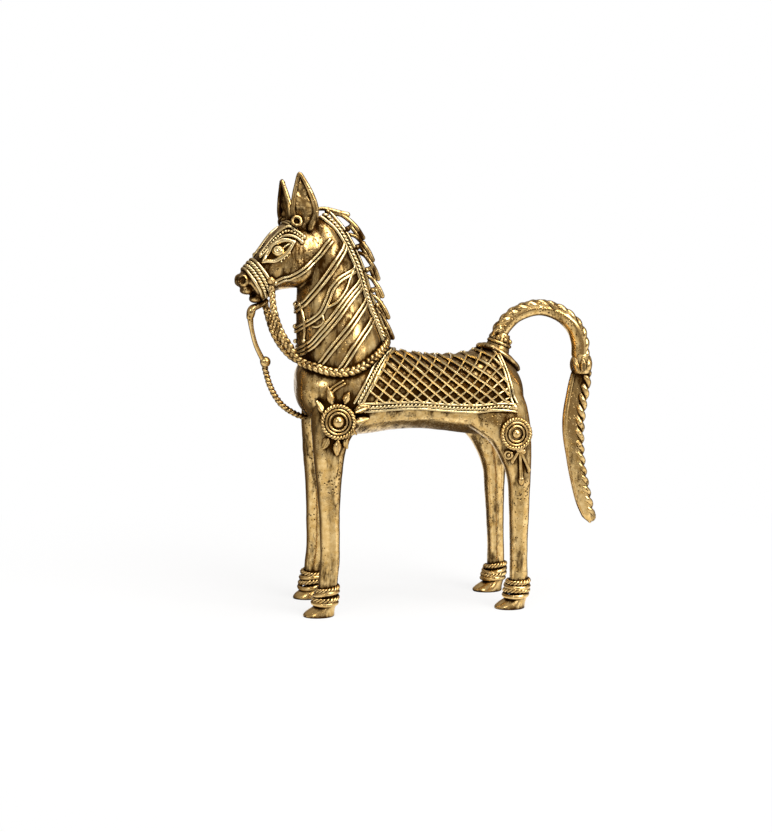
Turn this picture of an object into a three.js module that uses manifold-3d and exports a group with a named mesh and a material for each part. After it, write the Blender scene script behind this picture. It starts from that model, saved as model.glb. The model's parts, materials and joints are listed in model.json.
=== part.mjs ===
// A brass horse figurine in the lost-wax thread style, made of the pieces that its wax model is built from.
// Millimetres, +Z up. The horse looks along -X, and its left side is -Y.
// The origin is on the ground, under the middle of the whole figure.
import * as THREE from 'three';
import { mergeVertices } from 'three/addons/utils/BufferGeometryUtils.js';
import Module from 'manifold-3d';

const wasm = await Module();
wasm.setup();

// Clearance between two pieces that are seated on each other
const SEAT_GAP = 0.3;

// Torso: a hollow barrel cast over a clay core
const BODY_LENGTH = 95.9;
const BODY_WIDTH = 40;
const CHEST_X = -48.1;
const BACK_HEIGHT = 104;
const BODY_DEPTH = 29;
const BELLY_HEIGHT = BACK_HEIGHT - BODY_DEPTH;
const CHEST_LIFT = 4.5;
const GIRTH_DROP = 2.2;
const WITHERS_RISE = 5;
const CROUP_RISE = 5.7;
const FLANK_DROP = 6.4;
const END_ROUNDNESS = 4;
const WALL = 3;

// Neck: an upright oval column, hollow up to the core's top
const NECK_RISE = 59.5;
const NECK_SINK = 12;
const NECK_TOP = BACK_HEIGHT + NECK_RISE;
const NECK_FOOT = BACK_HEIGHT - NECK_SINK;
const NECK_SETBACK = 1.1;
const NECK_FRONT_X = CHEST_X + NECK_SETBACK;
const NECK_DEPTH = 36.5;
const NECK_TAPER = 25;
const NECK_WIDTH = 33;
const CORE_RINGS = 5;
const CORE_END_RINGS = 2;

// Head: a wedge from the poll to the muzzle, turned a little to the horse's left
const HEAD_TURN = THREE.MathUtils.degToRad(12);
const POLL_SETBACK = 8.1;
const POLL_X = CHEST_X + POLL_SETBACK;
const POLL_DROP = 3.2;
const POLL_HEIGHT = NECK_TOP - POLL_DROP;
const HEAD_LENGTH = 31;
const JAW_LENGTH = 27;
const HEAD_DEPTH = 25;
const HEAD_WIDTH = 21;
const MUZZLE_WIDTH = 10.8;
const FACE_DROP = 23;

// Ears, eyes and harness of the head
const EAR_HEIGHT = 20.5;
const EAR_WIDTH = 10.4;
const EAR_THICKNESS = 3.6;
const EAR_HOLLOW = 1.9;
const EAR_SPREAD = 12.8;
const EAR_SETBACK = 6.3;
const EAR_SINK = 1.2;
const EAR_LEAN = 1.3;
const LEFT_EAR_TURN = 0.3;
const RIGHT_EAR_TURN = 1.39;
const RIGHT_EAR_LEAD = 3.9;
const RIGHT_EAR_SHARE = 0.88;
const EYE_LENGTH = 10;
const EYE_HEIGHT = 5;
const EYE_BULGE = 1.6;
const STRAP_WIDTH = 2.6;
const STRAP_THICKNESS = 1.3;
const NOSEBAND_THICKNESS = 1.6;
const POLL_RING_RADIUS = 1.9;
const POLL_RING_WIRE = 0.65;
const POLL_RING_PLACE = 0.2;

// Reins and lead, cast as rods
const REIN_DIAMETER = 3.8;
const REIN_SAG = 4.4;
const LEAD_DIAMETER = 2.4;
const LEAD_BEAD_DIAMETER = 4.2;
const LEAD_BOW = 5.8;
const LEAD_INSET = 7;
const LEAD_HEIGHT = 6.5;
const BIT_PLACE = 0.72;
const BIT_ANGLE = -0.25;

// Mane and neck bands
const MANE_STRAP_WIDTH = 5;
const MANE_STRAP_THICKNESS = 2.2;
const MANE_LOOPS = 7;
const MANE_LOOP_HEIGHT = 1.7;
const MANE_LOOP_GROWTH = 2.6;
const MANE_WIRE = 1.7;
const MANE_START = 6;
const MANE_END = 1.5;
const COLLAR_BANDS = 3;
const SIDE_BANDS = 2;
const BAND_REACH = 0.72 * Math.PI;
const BAND_START = 0.235 * NECK_RISE;
const BAND_PITCH = 0.138 * NECK_RISE;
const BAND_FALL = 0.353 * NECK_RISE;
const BAND_WIDTH = 2.8;
const BAND_THICKNESS = 1.2;

// Saddle cloth: a net of wax threads with straps round it
const NET_COLUMNS = 9;
const NET_ROWS = 5;
const NET_LIFT = 0.4;
const NET_THREAD = 1.1;
const NET_THICKNESS = 1;
const SADDLE_FRONT_GAP = 8.5;
const SADDLE_FRONT_TOP = NECK_FRONT_X + NECK_DEPTH + SADDLE_FRONT_GAP;
const SADDLE_FRONT_LEAN = 17.2;
const SADDLE_REAR_INSET = 17.2;
const SADDLE_REAR_TOP = CHEST_X + BODY_LENGTH - SADDLE_REAR_INSET;
const SADDLE_REAR_LEAN = 5.8;
const SADDLE_TOP_GIRTH = 0.07;
const SADDLE_HEM_GIRTH = 1.12;
const HEM_WIDTH = 3;
const HEM_THICKNESS = 1.4;
const HEM_CLEARANCE = 2;

// Legs, hooves and anklets
const FORE_LEG_INSET = 11.9;
const FORE_LEG_X = CHEST_X + FORE_LEG_INSET;
const HIND_LEG_INSET = 4.1;
const HIND_LEG_X = CHEST_X + BODY_LENGTH - HIND_LEG_INSET;
const FOOT_SPACING = 33;
const HIP_SPACING = 23;
const RIGHT_FOOT_LEAD = 1.3;
const RIGHT_SHOULDER_LEAD = 1.2;
const RIGHT_HIP_LEAD = 3;
const SHANK_RADIUS = 3.85;
const THIGH_HEIGHT = 17;
const HOOF_HEIGHT = 5;
const HOOF_LENGTH = 13;
const HOOF_WIDTH = 9.8;
const HOOF_LEAD = 3.8;
const ANKLET_HEIGHT = 7.2;
const ANKLET_RINGS = 4;
const ANKLET_WIRE = 1.4;
const ANKLET_LIFT = 0.3;

// Rosettes and tassels
const SHOULDER_ROSETTE_RADIUS = 7.3;
const HAUNCH_ROSETTE_RADIUS = 6.8;
const ROSETTE_THICKNESS = 2.2;
const ROSETTE_BOSS = 2.2;
const ROSETTE_RINGS = 2;
const ROSETTE_DROP = 23.5;
const SHOULDER_SETBACK = 2.5;
const HAUNCH_LEAD = 3;
const PETALS = 7;
const PETAL_LENGTH = 5;
const TASSEL_LENGTH = 17;
const TASSEL_THREAD = 1.9;

// Tail: root collar, plaited arch, cuff and hanging switch
const TAIL_DIAMETER = 6.8;
const TAIL_ROOT_DIAMETER = 8.8;
const TAIL_ROOT_HEIGHT = 4.5;
const TAIL_ROOT_SKIRT = 3;
const TAIL_SINK = 1;
const TAIL_INSET = 10.6;
const TAIL_LEAN = 0.2;
const TAIL_ARCH_RISE = 12.2;
const TAIL_REACH = 36.6;
const CUFF_DIAMETER = 9.4;
const CUFF_LENGTH = 8.5;
const SWITCH_LENGTH = 66;
const SWITCH_WIDTH = 8.4;
const SWITCH_SWAY = 5;

// Colours
const BRASS = new THREE.Color(0.72, 0.52, 0.23);
const BRIGHT_BRASS = new THREE.Color(0.82, 0.63, 0.31);
const CLAY = new THREE.Color(0.16, 0.12, 0.09);

const TURN = 2 * Math.PI;
const QUARTER = Math.PI / 2;
const { lerp, clamp } = THREE.MathUtils;
const at = (x, y, z) => new THREE.Vector3(x, y, z);

// A smooth function through [place, value] pairs
function through(pairs) {
  const slope = (i) => {
    const before = pairs[Math.max(i - 1, 0)];
    const after = pairs[Math.min(i + 1, pairs.length - 1)];
    return (after[1] - before[1]) / (after[0] - before[0]);
  };
  return (place) => {
    const spot = clamp(place, pairs[0][0], pairs.at(-1)[0]);
    const found = pairs.findIndex((pair, i) => i > 0 && spot <= pair[0]);
    const [x0, v0] = pairs[found - 1];
    const [x1, v1] = pairs[found];
    const span = x1 - x0;
    const u = (spot - x0) / span;
    const bend0 = slope(found - 1) * span;
    const bend1 = slope(found) * span;
    const u2 = u * u;
    const u3 = u2 * u;
    return (2 * u3 - 3 * u2 + 1) * v0 + (u3 - 2 * u2 + u) * bend0
      + (3 * u2 - 2 * u3) * v1 + (u3 - u2) * bend1;
  };
}

// A body skinned over oval sections. section(t) gives a centre and two half-axes for t from 0 to 1,
// and up, the way along and across make a right-handed set. Its facets are the same at every offset.
class Loft {
  constructor(section, sides, rings) {
    this.section = section;
    this.sides = sides;
    this.rings = rings;
  }

  // The point at share t of the length and an angle round the section, standing off by offset
  point(t, angle, offset = 0, radius = 1) {
    const { centre, across, up } = this.section(t);
    const grown = (axis) => axis.clone().setLength(Math.max(axis.length() + offset, 0.05));
    return centre.clone()
      .addScaledVector(grown(across), Math.cos(angle) * radius)
      .addScaledVector(grown(up), Math.sin(angle) * radius);
  }

  // The way out of the surface at a point
  outward(t, angle) {
    return this.point(t, angle, 1).sub(this.point(t, angle, 0)).normalize();
  }

  // The closed body, grown by offset all round, or the stretch of it from one ring to another
  geometry(offset = 0, from = 0, to = this.rings) {
    const geometry = new THREE.CylinderGeometry(1, 1, 1, this.sides, to - from);
    const position = geometry.getAttribute('position');
    const along = this.section(to / this.rings).centre.clone().sub(this.section(from / this.rings).centre);
    along.normalize();
    for (let i = 0; i < position.count; i += 1) {
      const share = position.getY(i) + 0.5;
      const angle = Math.atan2(position.getX(i), position.getZ(i));
      const radius = Math.hypot(position.getX(i), position.getZ(i));
      const spot = this.point(lerp(from, to, share) / this.rings, angle, offset, radius);
      if (share < 0.001) spot.addScaledVector(along, -offset);
      if (share > 0.999) spot.addScaledVector(along, offset);
      position.setXYZ(i, spot.x, spot.y, spot.z);
    }
    return geometry;
  }
}

// A loft whose sections are spread evenly over a list
function listLoft(sections, sides, rings = sections.length - 1) {
  const curve = (pick) => new THREE.CatmullRomCurve3(sections.map(pick), false, 'catmullrom', 0.5);
  const centre = curve((s) => s.centre);
  const across = curve((s) => s.across);
  const up = curve((s) => s.up);
  const section = (t) => ({ centre: centre.getPoint(t), across: across.getPoint(t), up: up.getPoint(t) });
  return new Loft(section, sides, rings);
}

// A flat strap that lies on a loft along a smooth route of [share, angle] places
function strap(loft, route, width, thickness, steps, lift = 0) {
  const spline = new THREE.SplineCurve(route.map(([t, angle]) => new THREE.Vector2(t, angle)));
  const stand = SEAT_GAP + lift + thickness / 2;
  const places = Array.from({ length: steps + 1 }, (_, i) => spline.getPoint(i / steps));
  const points = places.map(({ x, y }) => loft.point(x, y, stand));
  return listLoft(points.map((centre, i) => {
    const up = loft.outward(places[i].x, places[i].y);
    const after = points[Math.min(i + 1, steps)];
    const along = after.clone().sub(points[Math.max(i - 1, 0)]).normalize();
    const across = up.clone().cross(along).normalize().multiplyScalar(width / 2);
    return { centre, across, up: up.multiplyScalar(thickness / 2) };
  }), 6);
}

// A round rod along a smooth curve through points
function rod(points, radius, steps, sides) {
  const corners = Array.from({ length: sides }, (_, i) => {
    const angle = (TURN * i) / sides;
    return new THREE.Vector2(radius * Math.cos(angle), radius * Math.sin(angle));
  });
  const extrudePath = new THREE.CatmullRomCurve3(points);
  return new THREE.ExtrudeGeometry(new THREE.Shape(corners), { steps, bevelEnabled: false, extrudePath });
}

// A three.js geometry as a solid that can be joined and cut
function solid(geometry) {
  const bare = geometry.clone();
  bare.deleteAttribute('normal');
  bare.deleteAttribute('uv');
  const merged = mergeVertices(bare, 1e-4);
  const vertProperties = new Float32Array(merged.getAttribute('position').array);
  const triVerts = new Uint32Array(merged.index.array);
  return new wasm.Manifold(new wasm.Mesh({ numProp: 3, vertProperties, triVerts }));
}

// The largest body of a solid, without the slivers that a cut can leave
function largest(body) {
  return body.decompose().reduce((best, next) => (next.volume() > best.volume() ? next : best));
}

// A solid with others cut away, as a three.js geometry
function cut(body, ...cutters) {
  const { vertProperties, triVerts } = largest(cutters.reduce((left, c) => left.subtract(c), body)).getMesh();
  const geometry = new THREE.BufferGeometry();
  geometry.setAttribute('position', new THREE.BufferAttribute(vertProperties, 3));
  geometry.setIndex(new THREE.BufferAttribute(triVerts, 1));
  geometry.computeVertexNormals();
  return geometry;
}

const joined = (bodies) => bodies.reduce((all, next) => all.add(next));

const figure = new THREE.Group();

function piece(name, geometry, color = BRASS, parent = figure) {
  const metalness = color === CLAY ? 0 : 1;
  const material = new THREE.MeshStandardMaterial({ color, roughness: 0.35, metalness });
  const mesh = new THREE.Mesh(geometry, material);
  mesh.name = name;
  parent.add(mesh);
  return mesh;
}

// The left piece, and the right one as its mirror image
function pair(name, geometry, color = BRASS) {
  piece(`${name}_left`, geometry, color);
  piece(`${name}_right`, geometry, color).scale.y = -1;
}

// Torso
const bodyEnd = CHEST_X + BODY_LENGTH;
const bodyX = (share) => CHEST_X + BODY_LENGTH * share;
const backLine = through([
  [bodyX(0), BACK_HEIGHT + WITHERS_RISE],
  [bodyX(0.25), BACK_HEIGHT + WITHERS_RISE],
  [bodyX(0.42), BACK_HEIGHT + 0.8 * WITHERS_RISE],
  [bodyX(0.62), BACK_HEIGHT + 0.34 * WITHERS_RISE],
  [bodyX(0.74), BACK_HEIGHT + 0.42 * CROUP_RISE],
  [bodyX(0.86), BACK_HEIGHT + CROUP_RISE],
  [bodyX(1), BACK_HEIGHT],
]);
const bellyLine = through([
  [bodyX(0), BELLY_HEIGHT + CHEST_LIFT],
  [bodyX(0.2), BELLY_HEIGHT - GIRTH_DROP],
  [bodyX(0.5), BELLY_HEIGHT],
  [bodyX(0.75), BELLY_HEIGHT - FLANK_DROP / 3],
  [bodyX(0.9), BELLY_HEIGHT - FLANK_DROP],
  [bodyX(1), BELLY_HEIGHT - FLANK_DROP],
]);

function torsoSection(x) {
  const fromMiddle = Math.abs((2 * (x - CHEST_X)) / BODY_LENGTH - 1);
  const rounding = Math.max(1 - fromMiddle ** END_ROUNDNESS, 1e-4) ** (1 / END_ROUNDNESS);
  const high = backLine(x);
  const low = bellyLine(x);
  return {
    centre: at(x, 0, (high + low) / 2),
    across: at(0, (BODY_WIDTH / 2) * rounding, 0),
    up: at(0, 0, ((high - low) / 2) * rounding),
  };
}

// Sections crowd towards the rounded ends
const torsoX = (t) => CHEST_X + (BODY_LENGTH * (1 - Math.cos(Math.PI * clamp(t, 0.03, 0.97)))) / 2;
const torsoShare = (x) => Math.acos(1 - (2 * (x - CHEST_X)) / BODY_LENGTH) / Math.PI;
const torso = new Loft((t) => torsoSection(torsoX(t)), 20, 12);
const leftGirth = (girth) => QUARTER * (1 + girth);

// Neck
const neckFront = through([
  [NECK_FOOT, NECK_FRONT_X + 0.04 * NECK_TAPER],
  [lerp(NECK_FOOT, NECK_TOP, 0.39), NECK_FRONT_X - 0.02 * NECK_TAPER],
  [lerp(NECK_FOOT, NECK_TOP, 0.67), NECK_FRONT_X + 0.02 * NECK_TAPER],
  [lerp(NECK_FOOT, NECK_TOP, 0.89), NECK_FRONT_X + 0.12 * NECK_TAPER],
  [NECK_TOP, NECK_FRONT_X + 0.28 * NECK_TAPER],
]);
const neckBack = through([
  [NECK_FOOT, NECK_FRONT_X + NECK_DEPTH],
  [BACK_HEIGHT + WITHERS_RISE, NECK_FRONT_X + NECK_DEPTH],
  [lerp(BACK_HEIGHT, NECK_TOP, 0.4), NECK_FRONT_X + NECK_DEPTH - 0.28 * NECK_TAPER],
  [lerp(BACK_HEIGHT, NECK_TOP, 0.68), NECK_FRONT_X + NECK_DEPTH - 0.5 * NECK_TAPER],
  [lerp(BACK_HEIGHT, NECK_TOP, 0.9), NECK_FRONT_X + NECK_DEPTH - 0.78 * NECK_TAPER],
  [NECK_TOP, NECK_FRONT_X + NECK_DEPTH - NECK_TAPER],
]);
const neckHalfWidth = through([
  [NECK_FOOT, NECK_WIDTH / 2],
  [lerp(NECK_FOOT, NECK_TOP, 0.2), 0.49 * NECK_WIDTH],
  [lerp(NECK_FOOT, NECK_TOP, 0.6), 0.34 * NECK_WIDTH],
  [lerp(NECK_FOOT, NECK_TOP, 0.9), 0.25 * NECK_WIDTH],
  [NECK_TOP, 0.1 * NECK_WIDTH],
]);
const neckZ = (t) => lerp(NECK_FOOT, NECK_TOP, t);
const neckShare = (z) => (z - NECK_FOOT) / (NECK_TOP - NECK_FOOT);

function neckSection(z) {
  const front = neckFront(z);
  const back = neckBack(z);
  return {
    centre: at((front + back) / 2, 0, z),
    across: at(0, neckHalfWidth(z), 0),
    up: at((front - back) / 2, 0, 0),
  };
}

const neck = new Loft((t) => neckSection(neckZ(t)), 16, 10);

// Head, in the frame of its own turned group, whose origin is under the poll
const headGroup = new THREE.Group();
headGroup.position.set(POLL_X, 0, 0);
headGroup.rotation.z = HEAD_TURN;
figure.add(headGroup);
headGroup.updateMatrix();
const turned = (geometry) => geometry.clone().applyMatrix4(headGroup.matrix);
const fromHead = (point) => point.clone().applyMatrix4(headGroup.matrix);

// Each head section runs from its top to its bottom: [reach, drop of the top, drop of the bottom, width]
const headShape = [
  [0.0, -0.01, 0.86, 0.86],
  [0.2, -0.02, 1.0, 0.98],
  [0.4, 0.0, 1.03, 1.0],
  [0.57, 0.19, 1.06, 0.86],
  [0.72, 0.45, 1.12, 0.62],
  [0.84, 0.65, 1.2, 0.3],
  [0.94, 0.8, 1.22, 0.1],
  [1.0, 0.93, 1.15, 0],
];
const head = listLoft(headShape.map(([reach, topDrop, bottomDrop, fullness]) => {
  const top = at(-HEAD_LENGTH * reach, 0, POLL_HEIGHT - FACE_DROP * topDrop);
  const bottom = at(-JAW_LENGTH * reach, 0, POLL_HEIGHT - HEAD_DEPTH * bottomDrop);
  return {
    centre: top.clone().add(bottom).divideScalar(2),
    across: at(0, -lerp(MUZZLE_WIDTH, HEAD_WIDTH, fullness) / 2, 0),
    up: top.clone().sub(bottom).divideScalar(2),
  };
}), 16, 14);

// Legs, in shares of the height from the hoof's top to the inside of the torso: the oval's front and back
// edges from the leg's axis
const LEG_SHAPES = {
  fore: {
    x: FORE_LEG_X,
    rightLead: RIGHT_SHOULDER_LEAD,
    front: [1.3, 1.3, 1, 1.15, 1.45, 1.7, 1.85, 1.6, 0.6],
    back: [0.8, 0.8, 1.05, 1.15, 1.5, 2.1, 3.1, 2.9, 1.2],
  },
  hind: {
    x: HIND_LEG_X,
    rightLead: RIGHT_HIP_LEAD,
    front: [1, 1, 1, 1.12, 1.45, 2.7, 4.8, 4.5, 1.8],
    back: [1, 1, 1, 1.15, 1.35, 1.45, 1.35, 1, 0.3],
  },
};
const LEG_SHARES = [0, 0.1, 0.22, 0.45, 0.6, 0.74, 0.84, 0.93, 1];
const LEG_WIDTHS = [1, 1, 1, 1.15, 1.4, 1.75, 2, 1.7, 0.6];
const legTop = BELLY_HEIGHT + THIGH_HEIGHT;
const legFoot = HOOF_HEIGHT + SEAT_GAP;
const legShare = (z) => (z - legFoot) / (legTop - legFoot);

function makeLeg({ x, front, back }, footLead = 0, hipLead = 0) {
  const spread = (factors) => through(LEG_SHARES.map((share, i) => [share, SHANK_RADIUS * factors[i]]));
  const frontEdge = spread(front);
  const backEdge = spread(back);
  const halfWidth = spread(LEG_WIDTHS);
  const foot = FOOT_SPACING / 2;
  const hip = HIP_SPACING / 2;
  const aside = through([[0, foot], [0.13, foot], [0.5, lerp(foot, hip, 0.2)], [1, hip]]);
  const lead = through([[0, footLead], [0.13, footLead], [0.5, hipLead], [1, hipLead]]);
  return new Loft((t) => ({
    centre: at(x - lead(t) + (backEdge(t) - frontEdge(t)) / 2, -aside(t), lerp(legFoot, legTop, t)),
    across: at(0, halfWidth(t), 0),
    up: at(-(frontEdge(t) + backEdge(t)) / 2, 0, 0),
  }), 12, 11);
}

// The right legs stand a little ahead of the left ones. They too are made on the left, and then mirrored.
const legs = Object.fromEntries(Object.entries(LEG_SHAPES).map(([end, shape]) => [
  end,
  { left: makeLeg(shape), right: makeLeg(shape, RIGHT_FOOT_LEAD, shape.rightLead) },
]));
const allLegs = Object.values(legs).flatMap(({ left, right }) => [left, right]);

// How far from the middle plane the horse's left side lies at a place of the side view
function sideReach(x, z) {
  const oval = ({ centre, across, up }, distance) => {
    const share = distance / up.length();
    return Math.abs(share) < 1 ? Math.abs(centre.y) + across.length() * Math.sqrt(1 - share * share) : 0;
  };
  const trunk = torsoSection(x);
  const reaches = [oval(trunk, z - trunk.centre.z)];
  if (z > NECK_FOOT && z < NECK_TOP) {
    const slice = neckSection(z);
    reaches.push(oval(slice, x - slice.centre.x));
  }
  if (z > legFoot && z < legTop) {
    for (const leg of allLegs) {
      const slice = leg.section(legShare(z));
      reaches.push(oval(slice, x - slice.centre.x));
    }
  }
  return Math.max(...reaches);
}

// Solids that others are cut by, grown by the seat's gap
const torsoSeat = solid(torso.geometry(SEAT_GAP));
const neckSeat = solid(neck.geometry(SEAT_GAP));
const headSeat = solid(turned(head.geometry(SEAT_GAP)));
const legSeats = allLegs.map((leg) => solid(leg.geometry(SEAT_GAP)));

function buildTrunk() {
  const hollow = (offset) => solid(torso.geometry(offset, CORE_END_RINGS, torso.rings - CORE_END_RINGS))
    .add(solid(neck.geometry(offset, 0, CORE_RINGS)));
  const cavity = hollow(-WALL);
  piece('torso_shell', cut(solid(torso.geometry()), cavity));
  piece('neck_shell', cut(solid(neck.geometry()), torsoSeat, headSeat, cavity));
  piece('clay_core', cut(hollow(-WALL - SEAT_GAP)), CLAY);
}

function buildHead() {
  piece('head', head.geometry(), BRASS, headGroup);
}

// An ear is a leaf that stands on the head, hollowed on one side
function buildEars() {
  const leaf = through([[0, 0.7], [0.3, 1], [0.65, 0.66], [1, 0.06]]);
  const ear = new Loft((t) => ({
    centre: at(-EAR_LEAN * t * t, 0, EAR_HEIGHT * t),
    across: at(0, (EAR_THICKNESS / 2) * Math.sqrt(leaf(t)), 0),
    up: at((-EAR_WIDTH / 2) * leaf(t), 0, 0),
  }), 10, 7);
  const scoop = new THREE.SphereGeometry(1, 9, 6).rotateX(QUARTER);
  scoop.scale(0.36 * EAR_WIDTH, EAR_HOLLOW, 0.36 * EAR_HEIGHT);
  scoop.translate(0, -EAR_THICKNESS / 2, 0.42 * EAR_HEIGHT);
  const body = solid(ear.geometry()).subtract(solid(scoop));
  const seat = solid(head.geometry(SEAT_GAP));
  // The left ear opens to its side, and the right one is turned to open forward
  const places = [
    ['left', EAR_SETBACK, -EAR_SPREAD / 2, LEFT_EAR_TURN, 1],
    ['right', EAR_SETBACK + RIGHT_EAR_LEAD, EAR_SPREAD / 2, RIGHT_EAR_TURN, RIGHT_EAR_SHARE],
  ];
  for (const [side, forward, aside, turn, share] of places) {
    const placed = new THREE.Matrix4()
      .makeTranslation(-forward, aside, POLL_HEIGHT - EAR_SINK)
      .multiply(new THREE.Matrix4().makeRotationZ(-turn))
      .multiply(new THREE.Matrix4().makeRotationX(0.06))
      .multiply(new THREE.Matrix4().makeScale(1, 1, share));
    piece(`ear_${side}`, cut(body.transform(placed.toArray()), seat), BRASS, headGroup);
  }
}

// A place on the head's left side, and its mirror image on the right
const mirrorAngle = (angle) => Math.PI - angle;
const bothSides = [['left', (angle) => angle], ['right', mirrorAngle]];

function buildFace() {
  const seat = solid(head.geometry(SEAT_GAP));
  const ball = new THREE.SphereGeometry(1, 10, 6);
  for (const [side, angleOf] of bothSides) {
    const place = head.point(0.45, angleOf(0.5));
    const out = head.outward(0.45, angleOf(0.5));
    const slant = new THREE.Matrix4().lookAt(out, at(0, 0, 0), at(0.35, 0, 1));
    const eye = ball.clone().scale(EYE_LENGTH / 2, EYE_HEIGHT / 2, EYE_BULGE).applyMatrix4(slant);
    eye.translate(place.x, place.y, place.z);
    piece(`eye_${side}`, cut(solid(eye), seat), BRIGHT_BRASS, headGroup);

    const jaw = strap(
      head,
      [[0.53, -0.74], [0.42, -0.7], [0.3, -0.5], [0.16, -0.2]].map(([t, angle]) => [t, angleOf(angle)]),
      STRAP_WIDTH,
      STRAP_THICKNESS,
      8,
    );
    piece(`jaw_strap_${side}`, cut(solid(jaw.geometry()), neckTurnedBack()), BRIGHT_BRASS, headGroup);

    const ring = new THREE.TorusGeometry(POLL_RING_RADIUS, POLL_RING_WIRE, 5, 9);
    const seatAngle = angleOf(0.25);
    const facing = head.outward(POLL_RING_PLACE, seatAngle);
    ring.applyMatrix4(new THREE.Matrix4().lookAt(facing, at(0, 0, 0), at(0, 0, 1)));
    const spot = head.point(POLL_RING_PLACE, seatAngle, 2 * SEAT_GAP + POLL_RING_WIRE);
    piece(`poll_ring_${side}`, ring.translate(spot.x, spot.y, spot.z), BRIGHT_BRASS, headGroup);
  }
  const brow = [[0.28, 0.62], [0.39, 0.95], [0.48, 1.2], [0.55, QUARTER]];
  const route = [...brow, ...brow.slice(0, -1).reverse().map(([t, angle]) => [t, mirrorAngle(angle)])];
  const browBand = strap(head, route, STRAP_WIDTH, STRAP_THICKNESS, 14, SEAT_GAP);
  piece('brow_band', cut(solid(browBand.geometry()), seat), BRIGHT_BRASS, headGroup);

  const band = solid(head.geometry(SEAT_GAP + NOSEBAND_THICKNESS, 9, 11));
  piece('noseband', cut(band, seat), BRIGHT_BRASS, headGroup);
}

// The neck's seat as seen from the head's turned frame
function neckTurnedBack() {
  const inverse = headGroup.matrix.clone().invert();
  return solid(neck.geometry(SEAT_GAP).applyMatrix4(inverse));
}

// The rein's route from the bit, down past the chest and back to the withers: places of the side view
const reinRadius = REIN_DIAMETER / 2;
const withersSeat = at(
  NECK_FRONT_X + NECK_DEPTH + reinRadius + 2 * SEAT_GAP,
  0,
  backLine(NECK_FRONT_X + NECK_DEPTH + reinRadius) + reinRadius + 2 * SEAT_GAP,
);

function reinRoute(sign) {
  const bitAngle = sign > 0 ? BIT_ANGLE : mirrorAngle(BIT_ANGLE);
  const bit = fromHead(head.point(BIT_PLACE, bitAngle, NOSEBAND_THICKNESS + reinRadius + 3 * SEAT_GAP));
  const neckSide = [[0.044, -0.36], [0.203, 0.59], [0.373, 1], [0.553, 0.82], [0.707, 0.23], [0.833, -0.59]]
    .map(([share, sag]) => [NECK_FRONT_X + NECK_DEPTH * share, BACK_HEIGHT - REIN_SAG * sag]);
  const beside = neckSide.map(([x, z], i) => {
    const reach = sideReach(x, z) + reinRadius + 2 * SEAT_GAP;
    const spread = i === 0 ? 0.6 * sideReach(...neckSide[1]) : 0;
    return at(x, -sign * Math.max(reach, spread), z);
  });
  const [{ x, y, z }] = beside;
  const free = [[0.13, 0.37], [0.31, 0.64], [0.57, 0.84]]
    .map(([back, down]) => at(lerp(bit.x, x, back), lerp(bit.y, y, down), lerp(bit.z, z, down)));
  const end = withersSeat.clone().setY(-sign * SEAT_GAP);
  const shoulder = at(withersSeat.x - 2 * SEAT_GAP, -sign * 0.21 * NECK_WIDTH, withersSeat.z - 2 * SEAT_GAP);
  return [bit, ...free, ...beside, shoulder, end];
}

const rein = (route, radius) => solid(rod(route, radius, 22, 7));
const reinRoutes = { left: reinRoute(1), right: reinRoute(-1) };
const reinSeats = Object.values(reinRoutes).map((route) => rein(route, reinRadius + SEAT_GAP));

function buildReins() {
  const seats = [torsoSeat, neckSeat, headSeat];
  for (const [side, route] of Object.entries(reinRoutes)) {
    piece(`rein_${side}`, cut(rein(route, reinRadius), ...seats), BRIGHT_BRASS);
  }
  const chin = fromHead(head.point(0.83, -QUARTER, LEAD_DIAMETER / 2 + NOSEBAND_THICKNESS + 3 * SEAT_GAP));
  const chest = at(CHEST_X + LEAD_INSET, 0, BELLY_HEIGHT + LEAD_HEIGHT);
  const hang = (share, forward, height) => {
    const along = chin.clone().lerp(chest, share);
    return at(along.x - LEAD_BOW * forward, along.y, lerp(chest.z, chin.z, height));
  };
  const route = [
    chin,
    hang(0.1, 1.25, 0.88),
    hang(0.2, 1.15, 0.65),
    hang(0.35, 0.9, 0.4),
    hang(0.56, 1, 0.14),
    hang(0.78, 0.69, 0),
    chest,
  ];
  const { x, y, z } = route[3];
  const bead = solid(new THREE.SphereGeometry(LEAD_BEAD_DIAMETER / 2, 8, 6).translate(x, y, z));
  const lead = solid(rod(route, LEAD_DIAMETER / 2, 20, 6)).add(bead);
  piece('lead_rope', cut(lead, torsoSeat, neckSeat, headSeat, ...legSeats), BRIGHT_BRASS);
}

function buildMane() {
  const low = neckShare(BACK_HEIGHT + WITHERS_RISE + MANE_START);
  const high = neckShare(NECK_TOP - MANE_END);
  const route = [0, 0.33, 0.67, 1].map((share) => [lerp(low, high, share), -QUARTER]);
  const rail = strap(neck, route, MANE_STRAP_WIDTH, MANE_STRAP_THICKNESS, 12);
  piece('mane_strap', rail.geometry(), BRIGHT_BRASS);

  const wire = MANE_WIRE / 2;
  const stand = 3 * SEAT_GAP + MANE_STRAP_THICKNESS + wire;
  const crest = (share, height) => neck.point(lerp(low, high, share), -QUARTER, stand + height);
  const keel = rod([0.02, 0.25, 0.5, 0.75, 0.98].map((share) => crest(share, 0)), wire, 12, 4);
  const pitch = 0.96 / MANE_LOOPS;
  const loops = Array.from({ length: MANE_LOOPS }, (_, i) => {
    const rise = MANE_LOOP_HEIGHT + (MANE_LOOP_GROWTH * i) / MANE_LOOPS;
    const places = [0, 0.3, 0.65, 0.98].map((u) => [0.02 + pitch * (i + u), rise * Math.sin(Math.PI * u)]);
    return solid(rod(places.map(([share, height]) => crest(share, height)), wire, 5, 4));
  });
  piece('mane_crest', cut(joined([solid(keel), ...loops])), BRIGHT_BRASS);
}

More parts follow.
